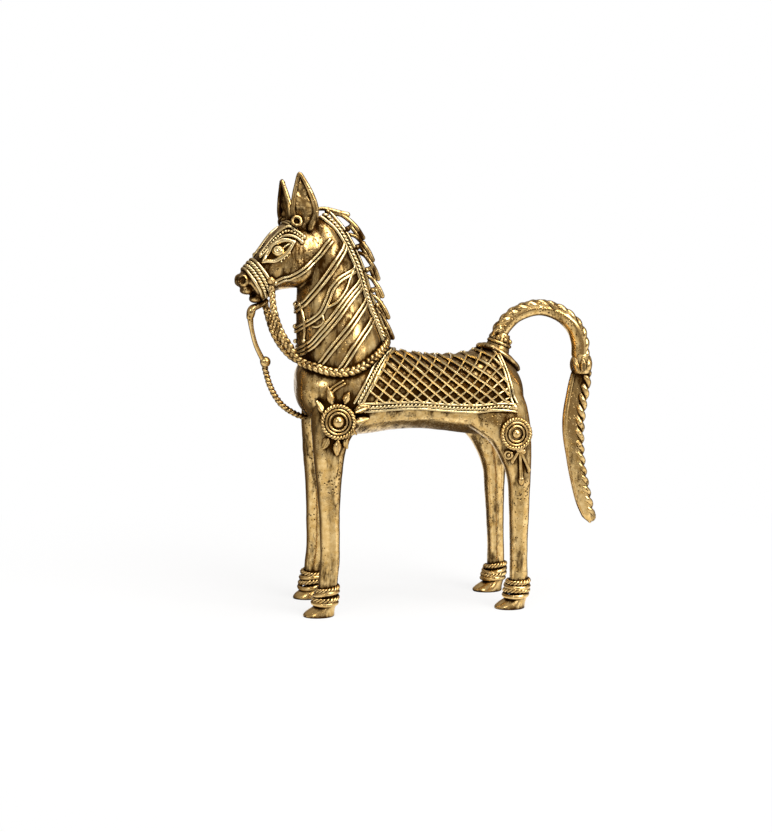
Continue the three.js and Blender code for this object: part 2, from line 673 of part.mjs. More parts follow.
// Each neck band slants from the mane down to the throat and up again on the other side
function bandRoute(index, sides) {
  const crestZ = NECK_TOP - BAND_START - BAND_PITCH * index;
  return sides.map((side) => {
    const turn = BAND_REACH * side;
    return [neckShare(crestZ - (BAND_FALL * (1 + Math.cos(turn))) / 2), QUARTER + turn];
  });
}

function buildNeckBands() {
  for (let i = 0; i < COLLAR_BANDS; i += 1) {
    const route = bandRoute(i, [-1, -0.66, -0.33, 0, 0.33, 0.66, 1]);
    const band = solid(strap(neck, route, BAND_WIDTH, BAND_THICKNESS, 18).geometry());
    piece(`neck_band_${i + 1}`, cut(band, headSeat), BRIGHT_BRASS);
  }
  // The lower bands end on the rein at each side
  for (let i = COLLAR_BANDS; i < COLLAR_BANDS + SIDE_BANDS; i += 1) {
    const route = bandRoute(i, [1, 0.8, 0.6, 0.4]);
    const band = solid(strap(neck, route, BAND_WIDTH, BAND_THICKNESS, 9).geometry());
    pair(`neck_band_${i + 1}`, cut(band, reinSeats[0], torsoSeat), BRIGHT_BRASS);
  }
}

// A place of the saddle cloth: s runs from its front edge to its rear edge, v from its top to its hem
function saddlePlace(s, v) {
  const front = SADDLE_FRONT_TOP - SADDLE_FRONT_LEAN * v;
  const rear = SADDLE_REAR_TOP + SADDLE_REAR_LEAN * v;
  return [torsoShare(lerp(front, rear, s)), leftGirth(lerp(SADDLE_TOP_GIRTH, SADDLE_HEM_GIRTH, v))];
}

// The net is a brick pattern of diamond openings, each in its own frame of thread
function buildSaddleNet() {
  const half = 1 / (2 * NET_COLUMNS);
  const step = 1 / (NET_ROWS + 1);
  const columnOf = (row) => row % 2;
  const cells = new Set();
  for (let row = 0; row < NET_ROWS; row += 1) {
    for (let column = columnOf(row); column < 2 * NET_COLUMNS - 1; column += 2) cells.add(`${column},${row}`);
  }
  const corner = (column, row, height) => {
    const [t, angle] = saddlePlace((column + 1) * half, (row + 1) * step);
    return torso.point(t, angle, SEAT_GAP + NET_LIFT + height);
  };
  const girth = QUARTER * torso.section(0.5).up.length() * (SADDLE_HEM_GIRTH - SADDLE_TOP_GIRTH);
  const cellWidth = (SADDLE_REAR_TOP - SADDLE_FRONT_TOP) / NET_COLUMNS;
  const cellHeight = (2 * girth) / (NET_ROWS + 1);
  const opening = 1 - NET_THREAD * Math.hypot(1 / cellWidth, 1 / cellHeight);
  const sides = [[-1, 0], [0, -1], [1, 0], [0, 1]];
  const positions = [];
  const quad = (a, b, c, d) => {
    for (const p of [a, c, b, a, d, c]) positions.push(p.x, p.y, p.z);
  };
  for (const cell of cells) {
    const [column, row] = cell.split(',').map(Number);
    sides.forEach(([dx, dy], i) => {
      const [ex, ey] = sides[(i + 1) % 4];
      const outer = (height) => [
        corner(column + dx, row + dy, height),
        corner(column + ex, row + ey, height),
      ];
      const inner = (height) => [
        corner(column + opening * dx, row + opening * dy, height),
        corner(column + opening * ex, row + opening * ey, height),
      ];
      const [a, b] = outer(NET_THICKNESS);
      const [c, d] = inner(NET_THICKNESS);
      const [e, f] = outer(0);
      const [g, h] = inner(0);
      quad(a, b, d, c);
      quad(f, e, g, h);
      quad(c, d, h, g);
      if (!cells.has(`${column + dx + ex},${row + dy + ey}`)) quad(b, a, e, f);
    });
  }
  const net = new THREE.BufferGeometry();
  net.setAttribute('position', new THREE.Float32BufferAttribute(positions, 3));
  const welded = mergeVertices(net, 1e-4);
  welded.computeVertexNormals();
  return welded;
}

function buildSaddle() {
  pair('saddle_net', buildSaddleNet(), BRIGHT_BRASS);

  const margin = HEM_WIDTH / 2 + NET_THREAD;
  const hemDown = margin / torso.section(0.5).up.length() / QUARTER;
  const hemGirth = leftGirth(SADDLE_HEM_GIRTH + hemDown);
  const hemStart = FORE_LEG_X + SHOULDER_ROSETTE_RADIUS + PETAL_LENGTH + HEM_CLEARANCE;
  const hemEnd = HIND_LEG_X - HAUNCH_ROSETTE_RADIUS - 2 * SEAT_GAP;
  const hemX = (share) => lerp(hemStart, hemEnd, share);
  const hemRoute = [0, 0.25, 0.5, 0.75, 1].map((share) => [torsoShare(hemX(share)), hemGirth]);
  const hem = solid(strap(torso, hemRoute, HEM_WIDTH, HEM_THICKNESS, 10).geometry());
  pair('saddle_hem', cut(hem, ...legSeats), BRIGHT_BRASS);

  const girths = [1, 0.8, 0.6, 0.4, 0.2, 0];
  const over = (edgeX) => [
    ...girths.map((girth) => [torsoShare(edgeX(girth)), leftGirth(girth)]),
    ...girths.slice(0, -1).reverse().map((girth) => [torsoShare(edgeX(girth)), leftGirth(-girth)]),
  ];
  const vOf = (girth) => clamp((girth - SADDLE_TOP_GIRTH) / (SADDLE_HEM_GIRTH - SADDLE_TOP_GIRTH), 0, 1);
  const slant = Math.hypot(SADDLE_FRONT_LEAN, BODY_WIDTH / 2) / (BODY_WIDTH / 2);
  const frontEdge = (girth) => SADDLE_FRONT_TOP - SADDLE_FRONT_LEAN * vOf(girth) - margin * slant;
  const rearEdge = (girth) => SADDLE_REAR_TOP + SADDLE_REAR_LEAN * vOf(girth) + margin;
  const frontStrap = strap(torso, over(frontEdge), HEM_WIDTH, HEM_THICKNESS, 20);
  piece('saddle_front_strap', cut(solid(frontStrap.geometry()), neckSeat, ...reinSeats), BRIGHT_BRASS);
  const rearStrap = strap(torso, over(rearEdge), HEM_WIDTH, HEM_THICKNESS, 20);
  piece('saddle_rear_strap', rearStrap.geometry(), BRIGHT_BRASS);
  return { front: solid(frontStrap.geometry(SEAT_GAP)), rear: solid(rearStrap.geometry(SEAT_GAP)) };
}

// A disc with a boss and raised rings, turned about its own axis
function rosetteProfile(radius) {
  const bossEdge = 0.32 * radius;
  const valley = 0.45 * ROSETTE_THICKNESS;
  const rings = Array.from({ length: ROSETTE_RINGS }, (_, i) => {
    const start = lerp(bossEdge, radius, (i + 0.15) / ROSETTE_RINGS);
    const end = lerp(bossEdge, radius, (i + 0.95) / ROSETTE_RINGS);
    return [[start, valley], [(start + end) / 2, ROSETTE_THICKNESS], [end, valley]];
  }).flat();
  const depth = 1.1 * radius;
  const profile = [
    [0, -depth],
    [radius, -depth],
    ...rings.reverse(),
    [bossEdge, valley],
    [0.6 * bossEdge, 0.9 * ROSETTE_BOSS],
    [0, ROSETTE_BOSS],
  ];
  return profile.map(([r, h]) => new THREE.Vector2(r, h));
}

function rosette(radius, x, z, petals) {
  const disc = solid(new THREE.LatheGeometry(rosetteProfile(radius), 14));
  const leaves = Array.from({ length: petals }, (_, i) => {
    const leaf = new THREE.SphereGeometry(1, 6, 4);
    leaf.scale(PETAL_LENGTH / 2, ROSETTE_THICKNESS, PETAL_LENGTH / 4);
    leaf.translate(radius + 0.3 * PETAL_LENGTH, -ROSETTE_THICKNESS, 0);
    return solid(leaf.rotateY((TURN * (i + 0.5)) / petals));
  });
  const out = new THREE.Matrix4().makeTranslation(x, -sideReach(x, z) - 2 * SEAT_GAP, z)
    .multiply(new THREE.Matrix4().makeRotationX(Math.PI));
  return joined([disc, ...leaves]).transform(out.toArray());
}

const rosetteZ = BACK_HEIGHT - ROSETTE_DROP;
const haunchZ = rosetteZ - FLANK_DROP;
const shoulderX = FORE_LEG_X + SHOULDER_SETBACK;
const haunchX = HIND_LEG_X - HAUNCH_LEAD;

function buildRosettes(frontStrapSeat) {
  const seats = [torsoSeat, ...legSeats];
  const shoulder = rosette(SHOULDER_ROSETTE_RADIUS, shoulderX, rosetteZ, PETALS);
  const haunch = rosette(HAUNCH_ROSETTE_RADIUS, haunchX, haunchZ, 0);
  pair('shoulder_rosette', cut(shoulder, ...seats, frontStrapSeat), BRIGHT_BRASS);
  pair('haunch_rosette', cut(haunch, ...seats), BRIGHT_BRASS);

  const below = haunchZ - HAUNCH_ROSETTE_RADIUS - 2 * SEAT_GAP;
  for (const [side, leg] of Object.entries(legs.hind)) {
    const stem = (spread, length) => {
      const places = [0, 0.5, 1].map((u) => [legShare(below - length * u), Math.PI + spread * u]);
      return solid(strap(leg, places, TASSEL_THREAD, TASSEL_THREAD, 4).geometry());
    };
    const stems = [[0, 1], [-0.9, 0.5], [0.9, 0.6]];
    const tassel = joined(stems.map(([spread, share]) => stem(spread, share * TASSEL_LENGTH)));
    const mesh = piece(`haunch_tassel_${side}`, cut(tassel, torsoSeat), BRIGHT_BRASS);
    if (side === 'right') mesh.scale.setY(-1);
  }
}

function buildLegs() {
  const anklet = ankletGeometry();
  for (const [end, sides] of Object.entries(legs)) {
    for (const [side, leg] of Object.entries(sides)) {
      const foot = leg.section(0).centre;
      const ring = anklet.clone().translate(foot.x, foot.y, legFoot + ANKLET_LIFT);
      const made = [
        piece(`${end}_leg_${side}`, cut(solid(leg.geometry()), torsoSeat)),
        piece(`${end}_anklet_${side}`, ring, BRIGHT_BRASS),
        piece(`${end}_hoof_${side}`, hoof(foot)),
      ];
      if (side === 'right') made.forEach((mesh) => mesh.scale.setY(-1));
    }
  }
}

// A stack of rings with a plain bore round the shank
function ankletGeometry() {
  const bore = SHANK_RADIUS + SEAT_GAP;
  const pitch = ANKLET_HEIGHT / ANKLET_RINGS;
  const groove = bore + 0.35 * ANKLET_WIRE;
  const rings = Array.from({ length: ANKLET_RINGS }, (_, i) => [
    [groove, pitch * i],
    [bore + ANKLET_WIRE, pitch * (i + 0.5)],
  ]).flat();
  const profile = [[bore, 0], ...rings, [groove, ANKLET_HEIGHT], [bore, ANKLET_HEIGHT], [bore, 0]];
  const points = profile.map(([r, h]) => new THREE.Vector2(r, h));
  return new THREE.LatheGeometry(points, 12).rotateX(QUARTER);
}

// A hoof flares from the fetlock to a flat sole with its toe forward
function hoof(foot) {
  const flare = through([[0, 1], [0.35, 0.96], [0.7, 0.78], [1, 0.66]]);
  const lead = through([[0, 1], [0.35, 0.9], [0.7, 0.45], [1, 0.15]]);
  return new Loft((t) => ({
    centre: at(foot.x - HOOF_LEAD * lead(t), foot.y, HOOF_HEIGHT * t),
    across: at(0, (HOOF_WIDTH / 2) * lerp(1, flare(t), 0.6), 0),
    up: at((-HOOF_LENGTH / 2) * flare(t), 0, 0),
  }), 14, 4).geometry();
}

function buildTail(rearStrapSeat) {
  const rootX = bodyEnd - TAIL_INSET;
  const rootZ = backLine(rootX) - TAIL_SINK;
  const lean = at(TAIL_LEAN, 0, 1).normalize();
  const collar = new THREE.LatheGeometry([
    [0, -TAIL_ROOT_SKIRT],
    [0.5 * TAIL_ROOT_DIAMETER, -TAIL_ROOT_SKIRT],
    [0.5 * TAIL_ROOT_DIAMETER, 0.35 * TAIL_ROOT_HEIGHT],
    [0.42 * TAIL_ROOT_DIAMETER, 0.55 * TAIL_ROOT_HEIGHT],
    [0.42 * TAIL_ROOT_DIAMETER, TAIL_ROOT_HEIGHT],
    [0, TAIL_ROOT_HEIGHT],
  ].map(([r, h]) => new THREE.Vector2(r, h)), 14);
  const upright = new THREE.Quaternion().setFromUnitVectors(at(0, 1, 0), lean);
  collar.applyQuaternion(upright).translate(rootX, 0, rootZ);
  // The strap's channel reaches down to the back, so that no sliver of the collar stays under the strap
  const channel = rearStrapSeat.translate(0, 0, -HEM_THICKNESS);
  piece('tail_root', cut(solid(collar), torsoSeat, rearStrapSeat, channel), BRIGHT_BRASS);

  const start = at(rootX, 0, rootZ).addScaledVector(lean, TAIL_ROOT_HEIGHT + 3 * SEAT_GAP);
  const rise = (share, up) => at(start.x + TAIL_REACH * share, 0, start.z + TAIL_ARCH_RISE * up);
  const radius = TAIL_DIAMETER / 2;
  const arch = [
    start,
    rise(0.065, 0.4),
    rise(0.22, 0.79),
    rise(0.48, 1),
    rise(0.74, 0.79),
    rise(0.92, 0.32),
    rise(0.99, -0.2),
    rise(1, -0.57),
  ];
  piece('tail_arch', rod(arch, radius, 18, 9));

  const cuffTop = arch.at(-1).z - 2 * SEAT_GAP;
  const cuff = new THREE.LatheGeometry([
    [0, 0],
    [0.44 * CUFF_DIAMETER, 0],
    [0.5 * CUFF_DIAMETER, 0.3 * CUFF_LENGTH],
    [0.46 * CUFF_DIAMETER, 0.75 * CUFF_LENGTH],
    [0.38 * CUFF_DIAMETER, CUFF_LENGTH],
    [0, CUFF_LENGTH],
  ].map(([r, h]) => new THREE.Vector2(r, h)), 14).rotateX(QUARTER);
  const cuffX = arch.at(-1).x;
  piece('tail_cuff', cuff.translate(cuffX, 0, cuffTop - CUFF_LENGTH), BRIGHT_BRASS);

  const switchTop = cuffTop - CUFF_LENGTH - SEAT_GAP;
  const sway = through([[0, -0.1], [0.3, -0.58], [0.5, -0.48], [0.75, 0.12], [1, 1]]);
  const girth = through([[0, 0.9], [0.25, 1], [0.5, 0.88], [0.8, 0.7], [0.95, 0.5], [1, 0.25]]);
  const hair = new Loft((t) => ({
    centre: at(cuffX + SWITCH_SWAY * sway(t), 0, switchTop - SWITCH_LENGTH * t),
    across: at(0, (-0.38 * SWITCH_WIDTH) * girth(t), 0),
    up: at((-SWITCH_WIDTH / 2) * girth(t), 0, 0),
  }), 10, 12);
  piece('tail_switch', hair.geometry());
}

buildTrunk();
buildHead();
buildEars();
buildFace();
buildReins();
buildMane();
buildNeckBands();
const saddleStraps = buildSaddle();
buildRosettes(saddleStraps.front);
buildLegs();
buildTail(saddleStraps.rear);

// The frame's origin is under the middle of the figure
const horse = new THREE.Group();
horse.add(figure);
figure.updateMatrixWorld(true);
const box = new THREE.Box3().setFromObject(figure, true);
figure.position.x = -(box.min.x + box.max.x) / 2;

export default horse;
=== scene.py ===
"""Looks of a brass horse figurine, cast by the lost-wax thread method.

Every form is modelled in millimetres in the figure's own gauge: y = 0 is the
middle plane, z = 0 the ground, and the horse looks along -X with its left side
at -Y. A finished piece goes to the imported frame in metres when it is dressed.
"""

from __future__ import annotations

import json
import logging
import math
from collections.abc import Callable, Iterable, Sequence
from dataclasses import dataclass, field, replace
from enum import Enum

import bmesh
import bpy
from bmesh.types import BMEdge, BMesh, BMVert
from mathutils import Matrix, Vector, noise
from mathutils.bvhtree import BVHTree

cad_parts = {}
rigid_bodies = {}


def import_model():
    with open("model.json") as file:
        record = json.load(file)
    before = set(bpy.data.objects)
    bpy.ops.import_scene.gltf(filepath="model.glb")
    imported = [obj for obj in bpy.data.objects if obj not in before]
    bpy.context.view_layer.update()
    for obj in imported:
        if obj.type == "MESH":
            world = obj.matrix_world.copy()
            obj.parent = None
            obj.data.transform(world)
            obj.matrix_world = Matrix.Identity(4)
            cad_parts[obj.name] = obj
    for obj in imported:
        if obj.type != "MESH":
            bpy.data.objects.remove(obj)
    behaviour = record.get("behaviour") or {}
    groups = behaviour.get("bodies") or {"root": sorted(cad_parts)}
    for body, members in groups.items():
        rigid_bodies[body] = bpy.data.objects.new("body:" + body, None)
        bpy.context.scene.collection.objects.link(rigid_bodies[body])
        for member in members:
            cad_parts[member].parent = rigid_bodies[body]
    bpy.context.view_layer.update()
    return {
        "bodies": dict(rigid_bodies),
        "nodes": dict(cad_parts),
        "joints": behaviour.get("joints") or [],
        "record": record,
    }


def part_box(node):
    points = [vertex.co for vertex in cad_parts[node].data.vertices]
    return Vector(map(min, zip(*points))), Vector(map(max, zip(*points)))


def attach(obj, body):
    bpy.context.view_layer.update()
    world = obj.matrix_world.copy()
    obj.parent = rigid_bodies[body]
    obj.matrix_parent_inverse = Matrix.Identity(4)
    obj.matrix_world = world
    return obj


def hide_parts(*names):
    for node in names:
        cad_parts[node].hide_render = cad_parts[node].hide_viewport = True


log = logging.getLogger("brass_horse")

TURN = 2.0 * math.pi
QUARTER = math.pi / 2.0
MM = 0.001
# A thread that lies on the skin: points round it, height by width, distance of its points, and its stand
LAID_SIDES = 7
LAID_FLAT = 1.1
LAID_SPACING = 0.7
LAID_STAND = 0.38
# How far each rounding section lies beyond a thread's end, and its size, as shares of the thread's own
END_CAPS = ((0.95, 0.35), (0.6, 0.8))
# A strand's radius as a share of its cord's, by the number of strands
STRAND_SHARES = {2: 0.55, 3: 0.47}
ROUND_STEPS = 72
SHORTEST_STEP = 1e-4

Pair = tuple[float, float]
Triple = tuple[float, float, float]
Path = Sequence[Vector]
Laid = tuple[list[Vector], list[Vector]]
Socket = bpy.types.NodeSocket


class Side(Enum):
    """The two sides of the horse, as the sign of y."""

    LEFT = -1.0
    RIGHT = 1.0

    @property
    def label(self) -> str:
        """The side's word in a piece's name."""
        return self.name.lower()


class End(Enum):
    """The two ends of the horse, by the words used for their legs."""

    FORE = "fore"
    HIND = "hind"


# Lines and sections


@dataclass(frozen=True)
class Profile:
    """A smooth line through pairs of place and value."""

    pairs: tuple[Pair, ...]

    def _slope(self, index: int) -> float:
        """The line's slope at one of its pairs."""
        before = self.pairs[max(index - 1, 0)]
        after = self.pairs[min(index + 1, len(self.pairs) - 1)]
        return (after[1] - before[1]) / (after[0] - before[0])

    def __call__(self, place: float) -> float:
        """Reads the line.

        Args:
            place: Where to read; beyond the ends the end values hold.

        Returns:
            The value at that place.
        """
        spot = min(max(place, self.pairs[0][0]), self.pairs[-1][0])
        found = next(i for i in range(1, len(self.pairs)) if spot <= self.pairs[i][0])
        (x0, v0), (x1, v1) = self.pairs[found - 1], self.pairs[found]
        span = x1 - x0
        u = (spot - x0) / span
        bend0 = self._slope(found - 1) * span
        bend1 = self._slope(found) * span
        u2, u3 = u * u, u * u * u
        return (
            (2.0 * u3 - 3.0 * u2 + 1.0) * v0
            + (u3 - 2.0 * u2 + u) * bend0
            + (3.0 * u2 - 2.0 * u3) * v1
            + (u3 - u2) * bend1
        )


def line(*pairs: Pair) -> Profile:
    """A profile through the given pairs."""
    return Profile(tuple(pairs))


def spread(places: Sequence[float], values: Sequence[float], scale: float = 1.0) -> Profile:
    """A profile through values at places, times a scale."""
    return Profile(tuple((place, scale * value) for place, value in zip(places, values)))


def lerp(start: float, end: float, share: float) -> float:
    """The number at a share of the way from start to end."""
    return start + (end - start) * share


def vec(x: float, y: float, z: float) -> Vector:
    """A vector of three numbers."""
    return Vector((x, y, z))


def evenly(count: int) -> list[float]:
    """Evenly spaced shares from 0 to 1, in a number of steps."""
    return [i / count for i in range(count + 1)]


def points(*places: Triple) -> list[Vector]:
    """The given places as vectors."""
    return [Vector(place) for place in places]


def basis(x: Vector, y: Vector, z: Vector, centre: Vector) -> Matrix:
    """The move to a place with the given axes and centre."""
    rows = [tuple(row) for row in zip(x, y, z, centre)]
    return Matrix((*rows, (0.0, 0.0, 0.0, 1.0)))


@dataclass(frozen=True)
class Oval:
    """A section of a body: its centre and two half-axes."""

    centre: Vector
    across: Vector
    up: Vector

    def matrix(self) -> Matrix:
        """The move that lays a unit circle on this section."""
        along = self.across.cross(self.up).normalized()
        return basis(self.across, self.up, along, self.centre)

    def point(self, angle: float) -> Vector:
        """The point of the rim at an angle."""
        return self.centre + self.across * math.cos(angle) + self.up * math.sin(angle)


Thickness = float | Callable[[float], float]


def size_at(thickness: Thickness, share: float) -> float:
    """A thickness at a share of a thread's length."""
    return thickness(share) if callable(thickness) else thickness


def lengths(path: Path, least: float = 0.0) -> list[float]:
    """The length run at each point of a path, with no step taken as shorter than the least."""
    run = [0.0]
    for before, after in zip(path, path[1:]):
        run.append(run[-1] + max((after - before).length, least))
    return run


def smooth_path(points: Path, spacing: float) -> list[Vector]:
    """A smooth run of evenly spaced points.

    Args:
        points: The places that the run goes through.
        spacing: The wanted distance between its points.

    Returns:
        The run's points, from the first place to the last.
    """
    places = lengths(points, SHORTEST_STEP)
    axes = [spread(places, values) for values in zip(*points)]
    steps = max(2, round(places[-1] / spacing))
    return [Vector([axis(places[-1] * i / steps) for axis in axes]) for i in range(steps + 1)]


def ways(path: Path) -> list[Vector]:
    """The direction of a path at each of its points."""
    last = len(path) - 1
    return [(path[min(i + 1, last)] - path[max(i - 1, 0)]).normalized() for i in range(last + 1)]


def carried(path: Path, normals: Path | None = None) -> list[Vector]:
    """Directions square to a path.

    Args:
        path: The points of the path.
        normals: Wanted directions; without them one is carried along untwisted.

    Returns:
        A unit direction square to the path at each point.
    """
    along = ways(path)
    if normals is not None:
        return [(n - way * n.dot(way)).normalized() for n, way in zip(normals, along)]
    start = vec(0.0, 0.0, 1.0) if abs(along[0].z) < 0.8 else vec(1.0, 0.0, 0.0)
    kept = [(start - along[0] * start.dot(along[0])).normalized()]
    for way in along[1:]:
        before = kept[-1]
        kept.append((before - way * before.dot(way)).normalized())
    return kept


# Wax forms


def moved(form: BMesh, place: Matrix) -> BMesh:
    """A form taken to a place."""
    bmesh.ops.transform(form, matrix=place, verts=form.verts[:])
    return form


def skin(ovals: Sequence[Oval], sides: int) -> BMesh:
    """A closed body drawn over sections.

    Args:
        ovals: The sections in order.
        sides: The number of points round each section.

    Returns:
        The body.
    """
    form = bmesh.new()
    bmesh.ops.create_circle(form, cap_ends=True, segments=sides, radius=1.0, matrix=ovals[0].matrix())
    rim = list(form.edges)
    for before, after in zip(ovals, ovals[1:]):
        grown = bmesh.ops.extrude_edge_only(form, edges=rim)["geom"]
        corners = [g for g in grown if isinstance(g, BMVert)]
        bmesh.ops.transform(form, matrix=after.matrix() @ before.matrix().inverted(), verts=corners)
        rim = [g for g in grown if isinstance(g, BMEdge) and g.is_boundary]
    bmesh.ops.edgeloop_fill(form, edges=rim)
    bmesh.ops.recalc_face_normals(form, faces=form.faces[:])
    return form


def thread(
    path: Path,
    thickness: Thickness,
    sides: int = 6,
    flat: float = 1.0,
    normals: Path | None = None,
) -> BMesh:
    """A wax thread with rounded ends.

    Args:
        path: The points of its middle.
        thickness: Its radius, or a line that gives the radius by share of length.
        sides: The number of points round it.
        flat: Its height as a share of its width.
        normals: Directions of its height, where it lies on something.

    Returns:
        The thread's closed body.
    """
    along = ways(path)
    ups = carried(path, normals)
    ovals = []
    for i, (spot, way, up) in enumerate(zip(path, along, ups)):
        radius = size_at(thickness, i / (len(path) - 1))
        ovals.append(Oval(spot, up.cross(way) * radius, up * (radius * flat)))

    def cap(oval: Oval, way: Vector, reach: float, share: float) -> Oval:
        """A smaller section beyond an end."""
        far = oval.centre + way * (reach * oval.up.length)
        return Oval(far, oval.across * share, oval.up * share)

    start = [cap(ovals[0], -along[0], *step) for step in END_CAPS]
    end = [cap(ovals[-1], along[-1], *step) for step in reversed(END_CAPS)]
    return skin([*start, *ovals, *end], sides)


def twisted(
    path: Path,
    thickness: Thickness,
    pitch: float,
    strands: int = 2,
    sides: int = 6,
    normals: Path | None = None,
) -> list[BMesh]:
    """Threads twisted round each other into a cord.

    Args:
        path: The points of the cord's middle, close together.
        thickness: The cord's radius.
        pitch: The length of one full turn.
        strands: The number of threads.
        sides: The number of points round each thread.
        normals: Directions that the turns are counted from.

    Returns:
        One body for each thread.
    """
    along = ways(path)
    ups = carried(path, normals)
    run = lengths(path)
    bodies = []
    share = STRAND_SHARES[strands]
    for strand in range(strands):
        spots = []
        for i, (spot, way, up) in enumerate(zip(path, along, ups)):
            radius = size_at(thickness, i / (len(path) - 1)) * (1.0 - share)
            angle = TURN * (run[i] / pitch + strand / strands)
            spots.append(spot + (up * math.cos(angle) + up.cross(way) * math.sin(angle)) * radius)

        def own(place: float) -> float:
            """The radius of one strand."""
            return size_at(thickness, place) * share

        bodies.append(thread(spots, own, sides))
    return bodies


def plaited(
    path: Path,
    normals: Path,
    thickness: Thickness,
    half_width: float,
    rise: float,
    period: float,
    sides: int = 7,
) -> list[BMesh]:
    """Three threads plaited flat along a path.

    Args:
        path: The points of the plait's middle, close together.
        normals: The way out of what it lies on.
        thickness: The radius of one thread.
        half_width: How far a thread swings to each side, in thread radii.
        rise: How far it rises and sinks where it crosses another, in thread radii.
        period: The length in which a thread swings out and back.
        sides: The number of points round each thread.

    Returns:
        One body for each thread.
    """
    along = ways(path)
    ups = carried(path, normals)
    run = lengths(path)
    bodies = []
    for strand in range(3):
        spots = []
        for spot, way, up, length in zip(path, along, ups, run):
            radius = size_at(thickness, length / run[-1])
            phase = TURN * (length / period + strand / 3.0)
            aside = up.cross(way) * (half_width * radius * math.sin(phase))
            spots.append(spot + aside + up * (rise * radius * math.sin(2.0 * phase)))
        bodies.append(thread(spots, thickness, sides))
    return bodies


def bead(centre: Vector, radii: Vector | float, turn: Matrix | None = None, detail: int = 2) -> BMesh:
    """A ball or an egg of wax.

    Args:
        centre: Its middle.
        radii: Its radius, or its three half-axes.
        turn: A rotation of the half-axes.
        detail: The number of times its faces are divided.

    Returns:
        The ball's body.
    """
    axes = radii if isinstance(radii, Vector) else vec(radii, radii, radii)
    place = Matrix.Translation(centre) @ (turn or Matrix.Identity(4)) @ Matrix.Diagonal((*axes, 1.0))
    form = bmesh.new()
    bmesh.ops.create_icosphere(form, subdivisions=detail, radius=1.0, matrix=place)
    return form


def hoop(place: Matrix, radius: float, wire: float, steps: int = 40, sides: int = 8) -> BMesh:
    """A closed ring of thread about the z axis of a place.

    Args:
        place: Where the ring lies.
        radius: From the ring's middle to the middle of the thread.
        wire: The thread's radius.
        steps: The number of sections round the ring.
        sides: The number of points round the thread.

    Returns:
        The ring's body.
    """
    form = bmesh.new()
    stand = Matrix.Translation((radius, 0.0, 0.0)) @ Matrix.Rotation(QUARTER, 4, "X")
    bmesh.ops.create_circle(form, cap_ends=False, segments=sides, radius=wire, matrix=stand)
    bmesh.ops.spin(
        form,
        geom=form.verts[:] + form.edges[:],
        cent=(0.0, 0.0, 0.0),
        axis=(0.0, 0.0, 1.0),
        angle=TURN,
        steps=steps,
        use_merge=True,
    )
    bmesh.ops.recalc_face_normals(form, faces=form.faces[:])
    return moved(form, place)


def leaf(place: Matrix, length: float, width: float, height: float) -> list[BMesh]:
    """A leaf of wax along the x axis of a place, with a raised vein.

    Args:
        place: Where its stalk is, with z the way out.
        length: From stalk to tip.
        width: At its widest.
        height: How far it stands up.

    Returns:
        The blade and the vein.
    """
    outline = line((0.0, 0.35), (0.35, 1.0), (0.7, 0.75), (1.0, 0.12))
    ovals = []
    for share in evenly(8):
        across = vec(0.0, 0.5 * width * outline(share), 0.0)
        up = vec(0.0, 0.0, height * outline(share) ** 0.5)
        ovals.append(Oval(vec(length * share, 0.0, 0.0), across, up))
    vein = [vec(length * share, 0.0, height * 0.95) for share in (0.12, 0.3, 0.5, 0.7, 0.85)]
    return [moved(skin(ovals, 10), place), moved(thread(vein, 0.13 * width, 5), place)]


def facing(centre: Vector, out: Vector, up: Vector | None = None) -> Matrix:
    """A place whose z axis looks out and whose y axis looks up.

    Args:
        centre: The place's origin.
        out: The way that z looks.
        up: The way that y looks as far as it can; the world's z without it.

    Returns:
        The place as a matrix.
    """
    z = out.normalized()
    wanted = up or vec(0.0, 0.0, 1.0)
    y = (wanted - z * wanted.dot(z)).normalized()
    return basis(y.cross(z), y, z, centre)


def around(place: Matrix, radius: float, height: float) -> list[Vector]:
    """A closed round of points about the z axis of a place, at a height along it."""
    angles = [TURN * i / ROUND_STEPS for i in range(ROUND_STEPS + 1)]
    return [place @ vec(radius * math.cos(a), radius * math.sin(a), height) for a in angles]


def laid(path: Path, thickness: Thickness, normals: Path) -> BMesh:
    """A thread that lies on the skin, a little higher than it is wide."""
    return thread(path, thickness, LAID_SIDES, LAID_FLAT, normals)


